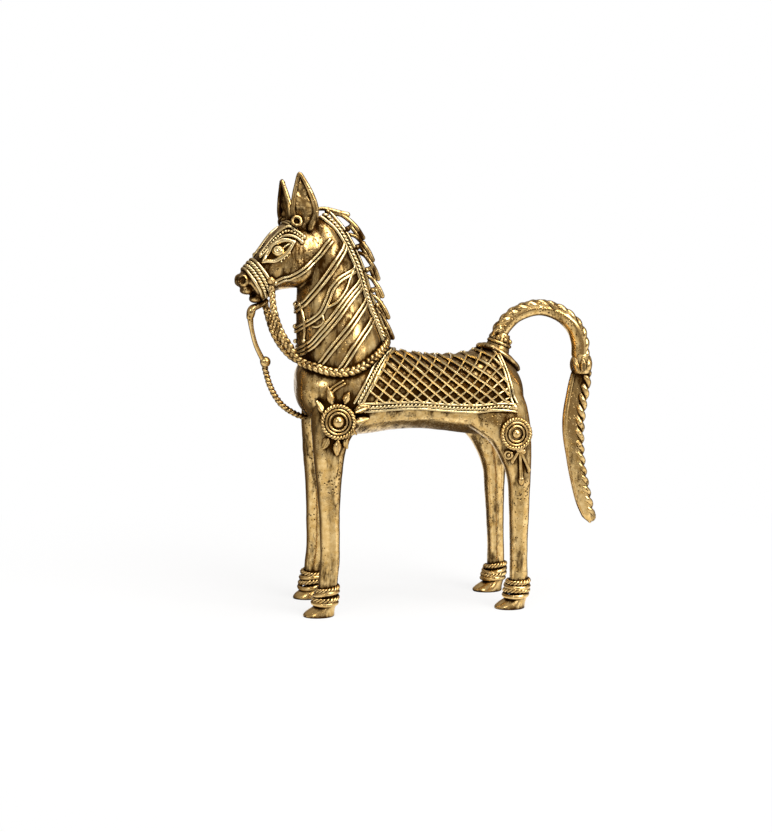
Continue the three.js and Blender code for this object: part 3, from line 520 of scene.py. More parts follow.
class CastSurface:
    """The figure's bare skin, on which the threads are laid."""

    CLOSEST = 0.15
    FAR = 80.0
    MISS = 60.0

    def __init__(self, form: BMesh) -> None:
        """Keeps a search tree of the skin's body."""
        self.tree = BVHTree.FromBMesh(form)

    def seat(self, spot: Vector, stand: float = 0.0) -> tuple[Vector, Vector]:
        """The nearest place on the skin, or as far off it as stand says, and the way out there."""
        found, out, _, _ = self.tree.find_nearest(spot)
        return found + out * stand, out

    def cast(self, start: Vector, way: Vector, stand: float = 0.0) -> tuple[Vector, Vector]:
        """The first place on the skin along a line.

        Args:
            start: Where the line starts.
            way: Where it goes.
            stand: How far to stand off.

        Returns:
            The place, and the way out there.
        """
        found, out, _, _ = self.tree.ray_cast(start, way.normalized())
        if found is None:
            return self.seat(start + way.normalized() * self.MISS, stand)
        return found + out * stand, out

    def aside(self, x: float, z: float, side: Side, stand: float = 0.0) -> tuple[Vector, Vector]:
        """A place on one side of the horse by its x and z, and the way out there."""
        start = vec(x, self.FAR * side.value, z)
        return self.cast(start, vec(0.0, -side.value, 0.0), stand)

    def beside(self, places: Iterable[Pair], side: Side, stand: float = 0.0) -> list[Vector]:
        """Places on one side of the horse, by their x and z."""
        return [self.aside(x, z, side, stand)[0] for x, z in places]

    def lay(self, path: Path, stand: float) -> Laid:
        """Lays a path on the skin.

        Args:
            path: Points near the skin.
            stand: How far to stand off.

        Returns:
            The laid points, and the ways out there.
        """
        seats = [self.seat(spot, stand) for spot in path]
        kept = seats[:1]
        for spot, out in seats[1:]:
            if (spot - kept[-1][0]).length > self.CLOSEST:
                kept.append((spot, out))
        return [spot for spot, _ in kept], [out for _, out in kept]

    def run(self, route: Path, spacing: float, stand: float) -> Laid:
        """A smooth path along a route, laid on the skin, with the ways out there."""
        return self.lay(smooth_path(route, spacing), stand)

    def strand(
        self, route: Path, radius: float, spacing: float = LAID_SPACING, stand: float = LAID_STAND
    ) -> BMesh:
        """A thread laid on the skin along a route."""
        path, outs = self.run(route, spacing, stand)
        return laid(path, radius, outs)


def beside_path(path: Path, normals: Path, gap: float) -> list[Vector]:
    """A path moved by a gap on the skin it lies on, to the left of its direction if positive."""
    return [spot + out.cross(way) * gap for spot, out, way in zip(path, normals, ways(path))]


def laid_rows(path: Path, normals: Path, gaps: Sequence[float], radius: float) -> list[BMesh]:
    """Threads that lie on the skin beside each other, each at a gap from the path."""
    return [laid(beside_path(path, normals, gap), radius, normals) for gap in gaps]


# Finishes


@dataclass(frozen=True)
class CastBrass:
    """Brass with patina and painted shade in its hollows, painted shade on the head, and casting pits.

    Colours are linear. Lengths are in metres.
    """

    name: str
    slot: str
    bright: Triple
    warm: Triple
    patina: Triple
    hollow_reach: float
    hollow_dark: float
    hollow_clear: float
    polish: float
    dullness: float
    grain: float
    pitting: float
    head_painted_shade: float
    streak_stretch: Triple = (1.0, 1.0, 0.3)
    streak_scale: float = 260.0
    jaw_heights: Pair = (0.128, 0.146)
    poll_heights: Pair = (0.157, 0.166)
    speck_scale: float = 760.0
    patch_scale: float = 75.0
    rub_scale: float = 420.0
    fine_scale: float = 1500.0
    ripple_scale: float = 260.0
    bump_strength: float = 0.55
    bump_depth: float = 0.00022

    def material(self) -> bpy.types.Material:
        """Makes the finish.

        Returns:
            A node material.
        """
        made, tree, shader, spot = plain_material(self.name)
        shader.inputs["Metallic"].default_value = 1.0

        # Occlusion darkens hollows and gaps by threads: partly real patina, partly painted shade.
        occlusion = tree.add("ShaderNodeAmbientOcclusion")
        occlusion.samples = 12
        occlusion.inputs["Distance"].default_value = self.hollow_reach
        drawn = tree.vector("MULTIPLY", spot, self.streak_stretch)
        streaks = tree.noise(drawn, scale=self.streak_scale, detail=7.0, roughness=0.7)
        stain_and_shade = tree.span(streaks, 0.36, 0.56, -0.32, 0.04)
        # Painted shade on the head: everything from the jaw's height up to the poll's is darkened.
        height = tree.axes(spot)["Z"]
        low_side = tree.span(height, *self.jaw_heights, 0.0, self.head_painted_shade, smooth=True)
        high_side = tree.span(height, *self.poll_heights, 1.0, 0.2, smooth=True)
        stain_and_shade = tree.math("SUBTRACT", stain_and_shade, tree.math("MULTIPLY", low_side, high_side))
        depth = tree.math("ADD", occlusion.outputs["AO"], stain_and_shade)
        clear = tree.span(depth, self.hollow_dark, self.hollow_clear, 0.0, 1.0, smooth=True)

        specks = tree.add("ShaderNodeTexVoronoi")
        specks.inputs["Scale"].default_value = self.speck_scale
        tree.link(spot, specks.inputs["Vector"])
        rare = tree.noise(spot, scale=self.patch_scale, detail=3.0, roughness=0.6)
        reach = tree.span(rare, 0.36, 0.68, 0.0, 0.18 * self.pitting)
        pit_edge = tree.math("SUBTRACT", specks.outputs["Distance"], reach)
        unpitted = tree.span(pit_edge, -0.06, 0.1, 0.0, 1.0, smooth=True)
        bare_metal = tree.math("MULTIPLY", clear, tree.span(unpitted, 0.0, 1.0, 0.15, 1.0))

        rubbed = tree.noise(spot, scale=self.rub_scale, detail=5.0, roughness=0.6)
        shine = tree.span(rubbed, 0.3, 0.7, 0.0, 1.0)
        body = tree.mix(shine, self.warm, self.bright)
        # Base colour: the patina colour where there is patina, painted shade or a pit, brass elsewhere.
        tree.link(tree.mix(bare_metal, self.patina, body), shader.inputs["Base Color"])
        wear = tree.math("MULTIPLY", bare_metal, tree.span(shine, 0.0, 1.0, 0.78, 1.0))
        tree.link(tree.span(wear, 0.0, 1.0, self.dullness, self.polish), shader.inputs["Roughness"])

        fine = tree.noise(spot, scale=self.fine_scale, detail=4.0, roughness=0.55)
        ripple = tree.noise(spot, scale=self.ripple_scale, detail=3.0, roughness=0.5)
        relief = tree.math("ADD", fine, tree.math("MULTIPLY", ripple, 1.6))
        pits = tree.math("MULTIPLY", unpitted, 0.5)
        height = tree.math("ADD", tree.math("MULTIPLY", relief, self.grain), pits)
        tree.link(tree.bump(height, self.bump_strength, self.bump_depth), shader.inputs["Normal"])
        return made


def fired_clay() -> bpy.types.Material:
    """Makes the sandy finish of the sealed core.

    Returns:
        A node material.
    """
    made, tree, shader, spot = plain_material("fired_clay")
    sand = tree.noise(spot, scale=900.0, detail=6.0, roughness=0.7)
    tree.link(tree.mix(sand, (0.02, 0.014, 0.01), (0.1, 0.07, 0.045)), shader.inputs["Base Color"])
    tree.link(tree.span(sand, 0.3, 0.7, 0.85, 1.0), shader.inputs["Roughness"])
    tree.link(tree.bump(sand, 1.0, 0.0004), shader.inputs["Normal"])
    return made


class NodeBench:
    """Short words for adding shader nodes to a tree."""

    def __init__(self, tree: bpy.types.NodeTree) -> None:
        """Keeps the node tree to add to."""
        self.tree = tree
        self.nodes = tree.nodes

    def add(self, kind: str) -> bpy.types.Node:
        """A new node of a kind."""
        return self.nodes.new(kind)

    def link(self, source: Socket, target: Socket) -> None:
        """Joins two sockets."""
        self.tree.links.new(source, target)

    def feed(self, value: Socket | float, target: Socket) -> None:
        """Joins a socket, or sets a plain number."""
        if isinstance(value, Socket):
            self.link(value, target)
        else:
            target.default_value = value

    def vector(self, operation: str, first: Socket, second: Triple = (0.0, 0.0, 0.0)) -> Socket:
        """The result of a sum on a vector, which is a number where it is a length."""
        node = self.add("ShaderNodeVectorMath")
        node.operation = operation
        node.inputs[1].default_value = second
        self.link(first, node.inputs[0])
        return node.outputs["Value" if operation == "LENGTH" else "Vector"]

    def axes(self, spot: Socket) -> bpy.types.NodeOutputs:
        """The three numbers of a vector, by the letters X, Y and Z."""
        node = self.add("ShaderNodeSeparateXYZ")
        self.link(spot, node.inputs[0])
        return node.outputs

    def bump(self, height: Socket, strength: float, distance: float) -> Socket:
        """The tilt that a relief gives to a surface."""
        node = self.add("ShaderNodeBump")
        node.inputs["Strength"].default_value = strength
        node.inputs["Distance"].default_value = distance
        self.link(height, node.inputs["Height"])
        return node.outputs["Normal"]

    def noise(self, spot: Socket, scale: float, detail: float, roughness: float) -> Socket:
        """Cloudy noise at a scale, as a number near one half."""
        node = self.add("ShaderNodeTexNoise")
        node.inputs["Scale"].default_value = scale
        node.inputs["Detail"].default_value = detail
        node.inputs["Roughness"].default_value = roughness
        self.link(spot, node.inputs["Vector"])
        return node.outputs["Fac"]

    def math(self, operation: str, first: Socket | float, second: Socket | float) -> Socket:
        """The result of a sum on two numbers."""
        node = self.add("ShaderNodeMath")
        node.operation = operation
        self.feed(first, node.inputs[0])
        self.feed(second, node.inputs[1])
        return node.outputs[0]

    def span(
        self,
        value: Socket,
        from_low: float,
        from_high: float,
        to_low: float,
        to_high: float,
        smooth: bool = False,
    ) -> Socket:
        """A number moved from one range to another and kept inside it."""
        node = self.add("ShaderNodeMapRange")
        node.interpolation_type = "SMOOTHSTEP" if smooth else "LINEAR"
        node.clamp = True
        self.link(value, node.inputs["Value"])
        node.inputs["From Min"].default_value = from_low
        node.inputs["From Max"].default_value = from_high
        node.inputs["To Min"].default_value = to_low
        node.inputs["To Max"].default_value = to_high
        return node.outputs["Result"]

    def mix(self, share: Socket, low: Socket | Triple, high: Socket | Triple) -> Socket:
        """A colour between two, by a share."""
        node = self.add("ShaderNodeMix")
        node.data_type = "RGBA"
        self.link(share, node.inputs[0])
        for colour, target in ((low, node.inputs[6]), (high, node.inputs[7])):
            if isinstance(colour, tuple):
                target.default_value = (*colour, 1.0)
            else:
                self.link(colour, target)
        return node.outputs[2]


def plain_material(name: str) -> tuple[bpy.types.Material, NodeBench, bpy.types.Node, Socket]:
    """A new node material.

    Args:
        name: The material's name.

    Returns:
        The material, its bench, its shader, and a socket with the place on the object.
    """
    made = bpy.data.materials.new(name)
    made.use_nodes = True
    tree = NodeBench(made.node_tree)
    spot = tree.add("ShaderNodeTexCoord").outputs["Object"]
    return made, tree, tree.nodes["Principled BSDF"], spot


BODY_BRASS = CastBrass(
    name="body_brass",
    slot="body_brass",
    bright=(0.95, 0.68, 0.31),
    warm=(0.62, 0.37, 0.105),
    patina=(0.045, 0.017, 0.002),
    hollow_reach=0.005,
    hollow_dark=0.6,
    hollow_clear=0.96,
    polish=0.13,
    dullness=0.5,
    grain=0.24,
    pitting=2.1,
    head_painted_shade=0.13,
)
# The body's brass painted paler, as painted light for the threads' bright highlights.
PAINTED_LIT_THREAD_BRASS = CastBrass(
    name="thread_brass",
    slot="thread_brass",
    bright=(0.99, 0.81, 0.45),
    warm=(0.88, 0.63, 0.28),
    patina=(0.03, 0.012, 0.002),
    hollow_reach=0.002,
    hollow_dark=0.28,
    hollow_clear=0.66,
    polish=0.14,
    dullness=0.55,
    grain=0.3,
    pitting=0.6,
    head_painted_shade=0.08,
)
# The body's brass with less patina and painted shade in its hollows, and fewer pits.
WOUND_BRASS = replace(
    BODY_BRASS,
    name="wound_brass",
    slot="thread_brass",
    hollow_reach=0.003,
    hollow_dark=0.4,
    hollow_clear=0.84,
    pitting=1.0,
)


# Pieces


class GaugeFrame:
    """Takes the figure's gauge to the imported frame."""

    FOOT_MIDDLE = 3.269

    def __init__(self) -> None:
        """Finds the gauge's origin from the anklets of the left legs."""
        middles = []
        for end in End:
            low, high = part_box(f"{end.value}_anklet_left")
            middles.append((low.x + high.x) / 2.0)
        shift = sum(middles) / 2.0 - self.FOOT_MIDDLE * MM
        self.matrix = Matrix.Translation((shift, 0.0, 0.0)) @ Matrix.Scale(MM, 4)

    def point(self, x: float, y: float, z: float) -> Vector:
        """A gauge point in the frame."""
        return self.matrix @ vec(x, y, z)


class Foundry:
    """Keeps the finishes, and dresses finished pieces."""

    def __init__(self, frame: GaugeFrame) -> None:
        """Makes the finishes.

        Args:
            frame: The way from gauge to frame.
        """
        self.frame = frame
        finishes = (BODY_BRASS, PAINTED_LIT_THREAD_BRASS, WOUND_BRASS)
        self.materials = {finish.name: finish.material() for finish in finishes}

    def dress(self, name: str, nodes: Sequence[str], form: BMesh, finish: CastBrass) -> None:
        """Makes a piece of a finished form.

        Args:
            name: The piece's name.
            nodes: The solids that it stands for.
            form: Its body in the gauge, which is used up.
            finish: Its finish.
        """
        mesh = bpy.data.meshes.new(name)
        form.to_mesh(mesh)
        form.free()
        mesh.transform(self.frame.matrix)
        mesh.polygons.foreach_set("use_smooth", [True] * len(mesh.polygons))
        mesh.set_sharp_from_angle(angle=math.radians(62.0))
        mesh.materials.append(self.materials[finish.name])
        piece = bpy.data.objects.new(name, mesh)
        bpy.context.scene.collection.objects.link(piece)
        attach(piece, "root")
        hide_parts(*nodes)
        log.info("%s: %d faces, for %s", name, len(mesh.polygons), ", ".join(nodes))

    def lay(self, name: str, nodes: Sequence[str], forms: Iterable[BMesh], finish: CastBrass) -> None:
        """Makes a piece of several wax forms, which are used up."""
        self.dress(name, nodes, gathered(forms), finish)


def gathered(forms: Iterable[BMesh]) -> BMesh:
    """Several bodies in one, each kept whole.

    Args:
        forms: The bodies, which are used up.

    Returns:
        One form that holds them all.
    """
    whole = bmesh.new()
    carrier = bpy.data.meshes.new("carrier")
    for form in forms:
        form.to_mesh(carrier)
        form.free()
        whole.from_mesh(carrier)
    bpy.data.meshes.remove(carrier)
    return whole


def mirrored(path: Path) -> list[Vector]:
    """A path on the other side of the middle plane."""
    return [vec(spot.x, -spot.y, spot.z) for spot in path]


@dataclass
class Trunk:
    """Torso, neck, head and legs: one skin, parted into its pieces."""

    chest_x: float = -48.1
    length: float = 95.9
    width: float = 40.0
    roundness: float = 4.0
    back: Profile = line(
        (0.0, 109.0), (0.25, 109.2), (0.42, 108.0), (0.62, 105.7), (0.74, 106.4), (0.86, 109.8), (1.0, 104.4)
    )
    belly: Profile = line(
        (0.0, 79.5), (0.2, 72.8), (0.5, 75.0), (0.75, 72.2), (0.9, 68.6), (1.0, 68.6)
    )
    neck_foot: float = 92.0
    neck_top: float = 163.5
    neck_front: Profile = line(
        (92.0, -46.0), (120.0, -47.5), (140.0, -46.5), (155.5, -44.0), (163.5, -40.0)
    )
    neck_back: Profile = line(
        (92.0, -10.5), (109.0, -10.5), (127.8, -17.5), (144.5, -23.0), (157.6, -30.0), (163.5, -35.5)
    )
    neck_width: Profile = line((92.0, 16.5), (106.3, 16.2), (134.9, 11.2), (156.4, 8.25), (163.5, 3.3))
    poll_x: float = -40.0
    head_turn: float = math.radians(12.0)
    head_reach: tuple[float, ...] = (0.0, 6.2, 12.4, 17.7, 22.3, 26.0, 29.1, 31.0)
    head_top: tuple[float, ...] = (160.5, 160.9, 160.5, 156.3, 150.4, 145.7, 142.2, 139.0)
    jaw_reach: tuple[float, ...] = (0.0, 5.4, 10.8, 15.4, 19.4, 22.4, 24.4, 25.6)
    jaw_bottom: tuple[float, ...] = (138.8, 134.8, 133.9, 133.3, 132.0, 130.3, 129.8, 131.6)
    head_half_width: tuple[float, ...] = (9.8, 10.4, 10.5, 9.8, 8.6, 6.9, 5.9, 5.4)
    fore_leg_x: float = -36.2
    hind_leg_x: float = 43.7
    foot_aside: float = 16.5
    hip_aside: float = 11.5
    shank: float = 3.85
    leg_foot: float = 4.4
    leg_top: float = 92.0
    voxel: float = 0.42
    leg_cut: float = 67.4
    body_below: float = 128.0
    body_behind: float = -38.0
    body_passes: int = 26
    skin_passes: int = 4
    swells: tuple[Pair, ...] = ((0.09, 0.22), (0.33, 0.07))
    nostril: Triple = (-32.3, 4.5, 137.6)
    nostril_reach: float = 1.8
    nostril_depth: float = 2.3
    eye_middle: Pair = (-17.4, 148.9)
    eye_halves: Pair = (6.3, 3.1)
    eye_slant: float = math.atan2(8.0, 11.6)
    eye_depth: float = 1.2

    def head_frame(self) -> Matrix:
        """The head's own frame, turned about the poll."""
        return Matrix.Translation((self.poll_x, 0.0, 0.0)) @ Matrix.Rotation(self.head_turn, 4, "Z")

    def torso_oval(self, x: float) -> Oval:
        """The torso's section at x."""
        share = (x - self.chest_x) / self.length
        rounding = max(1.0 - abs(2.0 * share - 1.0) ** self.roundness, 1e-4) ** (1.0 / self.roundness)
        high, low = self.back(share), self.belly(share)
        across = vec(0.0, 0.5 * self.width * rounding, 0.0)
        up = vec(0.0, 0.0, (high - low) / 2.0 * rounding)
        return Oval(vec(x, 0.0, (high + low) / 2.0), across, up)

    def neck_oval(self, z: float) -> Oval:
        """The neck's section at a height."""
        front, rear = self.neck_front(z), self.neck_back(z)
        across = vec(0.0, self.neck_width(z), 0.0)
        up = vec((front - rear) / 2.0, 0.0, 0.0)
        return Oval(vec((front + rear) / 2.0, 0.0, z), across, up)

    def head_oval(self, share: float) -> Oval:
        """The head's section at a share of its length, in its own frame."""
        places = evenly(len(self.head_reach) - 1)

        def at(values: Sequence[float]) -> float:
            """One of the head's rows of sizes, at the share."""
            return spread(places, values)(share)

        top = vec(-at(self.head_reach), 0.0, at(self.head_top))
        low = vec(-at(self.jaw_reach), 0.0, at(self.jaw_bottom))
        across = vec(0.0, -at(self.head_half_width), 0.0)
        return Oval((top + low) / 2.0, across, (top - low) / 2.0)

    def leg_ovals(self, end: End, side: Side, count: int) -> list[Oval]:
        """The sections of one leg.

        Args:
            end: Fore or hind.
            side: Left or right.
            count: The number of sections.

        Returns:
            The sections from the hoof up.
        """
        shares = (0.0, 0.1, 0.22, 0.45, 0.6, 0.74, 0.84, 0.93, 1.0)
        half = spread(shares, (1.0, 1.0, 1.0, 1.15, 1.4, 1.75, 2.0, 1.8, 0.8), self.shank)
        if end is End.FORE:
            x, foot_lead, hip_lead = self.fore_leg_x, 1.6, 0.8
            front = spread(shares, (1.3, 1.3, 1.06, 1.18, 1.45, 1.7, 1.85, 1.6, 0.6), self.shank)
            rear = spread(shares, (0.8, 0.8, 1.1, 1.16, 1.4, 1.95, 3.1, 2.9, 1.2), self.shank)
        else:
            x, foot_lead, hip_lead = self.hind_leg_x, 1.5, 3.7
            front = spread(shares, (1.0, 1.0, 1.0, 1.12, 1.45, 3.0, 5.6, 5.2, 2.2), self.shank)
            rear = spread(shares, (1.0, 1.0, 1.0, 1.15, 1.35, 1.45, 1.35, 1.0, 0.3), self.shank)
        if side is Side.LEFT:
            foot_lead, hip_lead = 0.0, 0.0
        knee_lead = lerp(foot_lead, hip_lead, 0.6)
        lead = line((0.0, foot_lead), (0.13, foot_lead), (0.5, knee_lead), (0.8, hip_lead), (1.0, hip_lead))
        foot, hip = self.foot_aside, self.hip_aside
        aside = line((0.0, foot), (0.13, foot), (0.5, lerp(foot, hip, 0.2)), (1.0, hip))
        ovals = []
        for t in evenly(count - 1):
            middle = x - lead(t) + (rear(t) - front(t)) / 2.0
            centre = vec(middle, side.value * aside(t), lerp(self.leg_foot, self.leg_top, t))
            up = vec(-(front(t) + rear(t)) / 2.0, 0.0, 0.0)
            ovals.append(Oval(centre, vec(0.0, half(t), 0.0), up))
        return ovals

    def foot(self, end: End, side: Side) -> Vector:
        """The middle of a leg above its hoof."""
        return self.leg_ovals(end, side, 2)[0].centre

    def _muzzle(self) -> list[BMesh]:
        """Nose, nostrils, lips and cheeks as balls that sink into the head."""
        balls = [
            ((-28.9, 0.0, 137.8), (3.3, 4.4, 4.2)),
            ((-29.0, 0.0, 133.3), (2.8, 4.3, 1.9)),
            ((-25.3, 0.0, 129.9), (2.6, 3.5, 1.9)),
        ]
        for side in Side:
            balls.append(((-30.8, 3.0 * side.value, 137.3), (2.5, 2.4, 2.8)))
            balls.append(((-9.5, 7.6 * side.value, 143.5), (7.5, 3.2, 7.5)))
        frame = self.head_frame()
        return [moved(bead(Vector(centre), Vector(radii), detail=4), frame) for centre, radii in balls]

    def cast(self) -> BMesh:
        """Casts all the trunk's bodies as one skin.

        Returns:
            The skin, smooth where bodies meet.
        """
        turns = [math.pi * lerp(0.02, 0.98, share) for share in evenly(60)]
        places = [self.chest_x + self.length * (1.0 - math.cos(turn)) / 2.0 for turn in turns]
        heights = [lerp(self.neck_foot, self.neck_top, share) for share in evenly(40)]
        forms = [
            skin([self.torso_oval(x) for x in places], 72),
            skin([self.neck_oval(z) for z in heights], 64),
            moved(skin([self.head_oval(share) for share in evenly(40)], 56), self.head_frame()),
            *self._muzzle(),
        ]
        forms.extend(skin(self.leg_ovals(end, side, 48), 40) for end in End for side in Side)
        whole = fused(gathered(forms), self.voxel)
        self._soften(whole)
        self._press_nostrils(whole)
        self._press_eyes(whole)
        return whole

    def _soften(self, whole: BMesh) -> None:
        """Rounds the creases between bodies, and leaves the skin a little uneven by hand."""
        body = [v for v in whole.verts if v.co.z < self.body_below or v.co.x > self.body_behind]
        for verts, passes in ((body, self.body_passes), (whole.verts[:], self.skin_passes)):
            for _ in range(passes):
                bmesh.ops.smooth_vert(
                    whole, verts=verts, factor=0.5, use_axis_x=True, use_axis_y=True, use_axis_z=True
                )
        whole.normal_update()
        for vert in whole.verts:
            swell = sum(noise.noise(vert.co * scale) * height for scale, height in self.swells)
            vert.co += vert.normal * swell
        whole.normal_update()

    def _press_nostrils(self, whole: BMesh) -> None:
        """Pushes a hole into each side of the nose."""
        frame = self.head_frame()
        x, y, z = self.nostril
        for side in Side:
            centre = frame @ vec(x, y * side.value, z)
            inward = frame.to_3x3() @ vec(0.72, -0.68 * side.value, 0.0)
            for vert in whole.verts:
                share = (vert.co - centre).length / self.nostril_reach
                if share < 1.0:
                    vert.co += inward * (self.nostril_depth * (1.0 - share**2))

    def _press_eyes(self, whole: BMesh) -> None:
        """Pushes an almond hollow into each side of the head, where an eye goes."""
        back_to_head = self.head_frame().inverted()
        flat, steep = math.cos(self.eye_slant), math.sin(self.eye_slant)
        for vert in whole.verts:
            if vert.co.z < 140.0 or vert.co.x > -45.0:
                continue
            own = back_to_head @ vert.co
            across, up = own.x - self.eye_middle[0], own.z - self.eye_middle[1]
            along = (across * flat + up * steep) / self.eye_halves[0]
            high = (up * flat - across * steep) / self.eye_halves[1]
            reach = along * along + high * high
            if reach < 1.0 and abs(own.y) > 4.0:
                vert.co -= vert.normal * (self.eye_depth * (1.0 - reach * reach))

    def part(self, whole: BMesh, foundry: Foundry) -> None:
        """Parts the skin into its pieces and dresses them.

        Args:
            whole: The skin.
            foundry: Where pieces are dressed.
        """
        throat = (vec(-47.8, 0.0, 134.0), vec(-0.954, 0.0, 0.301))
        withers = (vec(-47.5, 0.0, 98.0), vec(-0.338, 0.0, 0.941))
        knees = (vec(0.0, 0.0, self.leg_cut), vec(0.0, 0.0, -1.0))

        def other(plane: tuple[Vector, Vector]) -> tuple[Vector, Vector]:
            """The same plane, with its other side kept."""
            return plane[0], -plane[1]

        foundry.dress("cast_head", ["head"], kept_part(whole, [throat]), BODY_BRASS)
        foundry.dress("cast_neck", ["neck_shell"], kept_part(whole, [withers, other(throat)]), BODY_BRASS)
        torso = kept_part(whole, [other(withers), other(knees)])
        foundry.dress("cast_torso", ["torso_shell"], torso, BODY_BRASS)
        for end in End:
            forward = -1.0 if end is End.FORE else 1.0
            half = (vec(0.0, 0.0, 0.0), vec(forward, 0.0, 0.0))
            for side in Side:
                own = (vec(0.0, 0.0, 0.0), vec(0.0, side.value, 0.0))
                name = f"{end.value}_leg_{side.label}"
                foundry.dress(f"cast_{name}", [name], kept_part(whole, [knees, half, own]), BODY_BRASS)


def fused(form: BMesh, voxel: float) -> BMesh:
    """One skin round bodies that run into each other.

    Args:
        form: The bodies, which are used up.
        voxel: The fineness of the skin.

    Returns:
        The outer skin.
    """
    mesh = bpy.data.meshes.new("fused")
    form.to_mesh(mesh)
    form.free()
    holder = bpy.data.objects.new("fused", mesh)
    bpy.context.scene.collection.objects.link(holder)
    melt = holder.modifiers.new("melt", "REMESH")
    melt.mode = "VOXEL"
    melt.voxel_size = voxel
    done = holder.evaluated_get(bpy.context.evaluated_depsgraph_get())
    melted = bpy.data.meshes.new_from_object(done)
    whole = bmesh.new()
    whole.from_mesh(melted)
    bpy.data.objects.remove(holder)
    bpy.data.meshes.remove(mesh)
    bpy.data.meshes.remove(melted)
    return whole


def kept_part(whole: BMesh, planes: Sequence[tuple[Vector, Vector]]) -> BMesh:
    """The part of a body on the outer side of planes, closed again.

    Args:
        whole: The body, which stays as it is.
        planes: A point and the way to the kept side, for each plane.

    Returns:
        The part.
    """
    form = whole.copy()
    for spot, way in planes:
        parted = bmesh.ops.bisect_plane(
            form,
            geom=form.verts[:] + form.edges[:] + form.faces[:],
            plane_co=spot,
            plane_no=way,
            clear_inner=True,
        )
        rim = [g for g in parted["geom_cut"] if isinstance(g, BMEdge)]
        if rim:
            bmesh.ops.edgeloop_fill(form, edges=rim)
    bmesh.ops.recalc_face_normals(form, faces=form.faces[:])
    return form


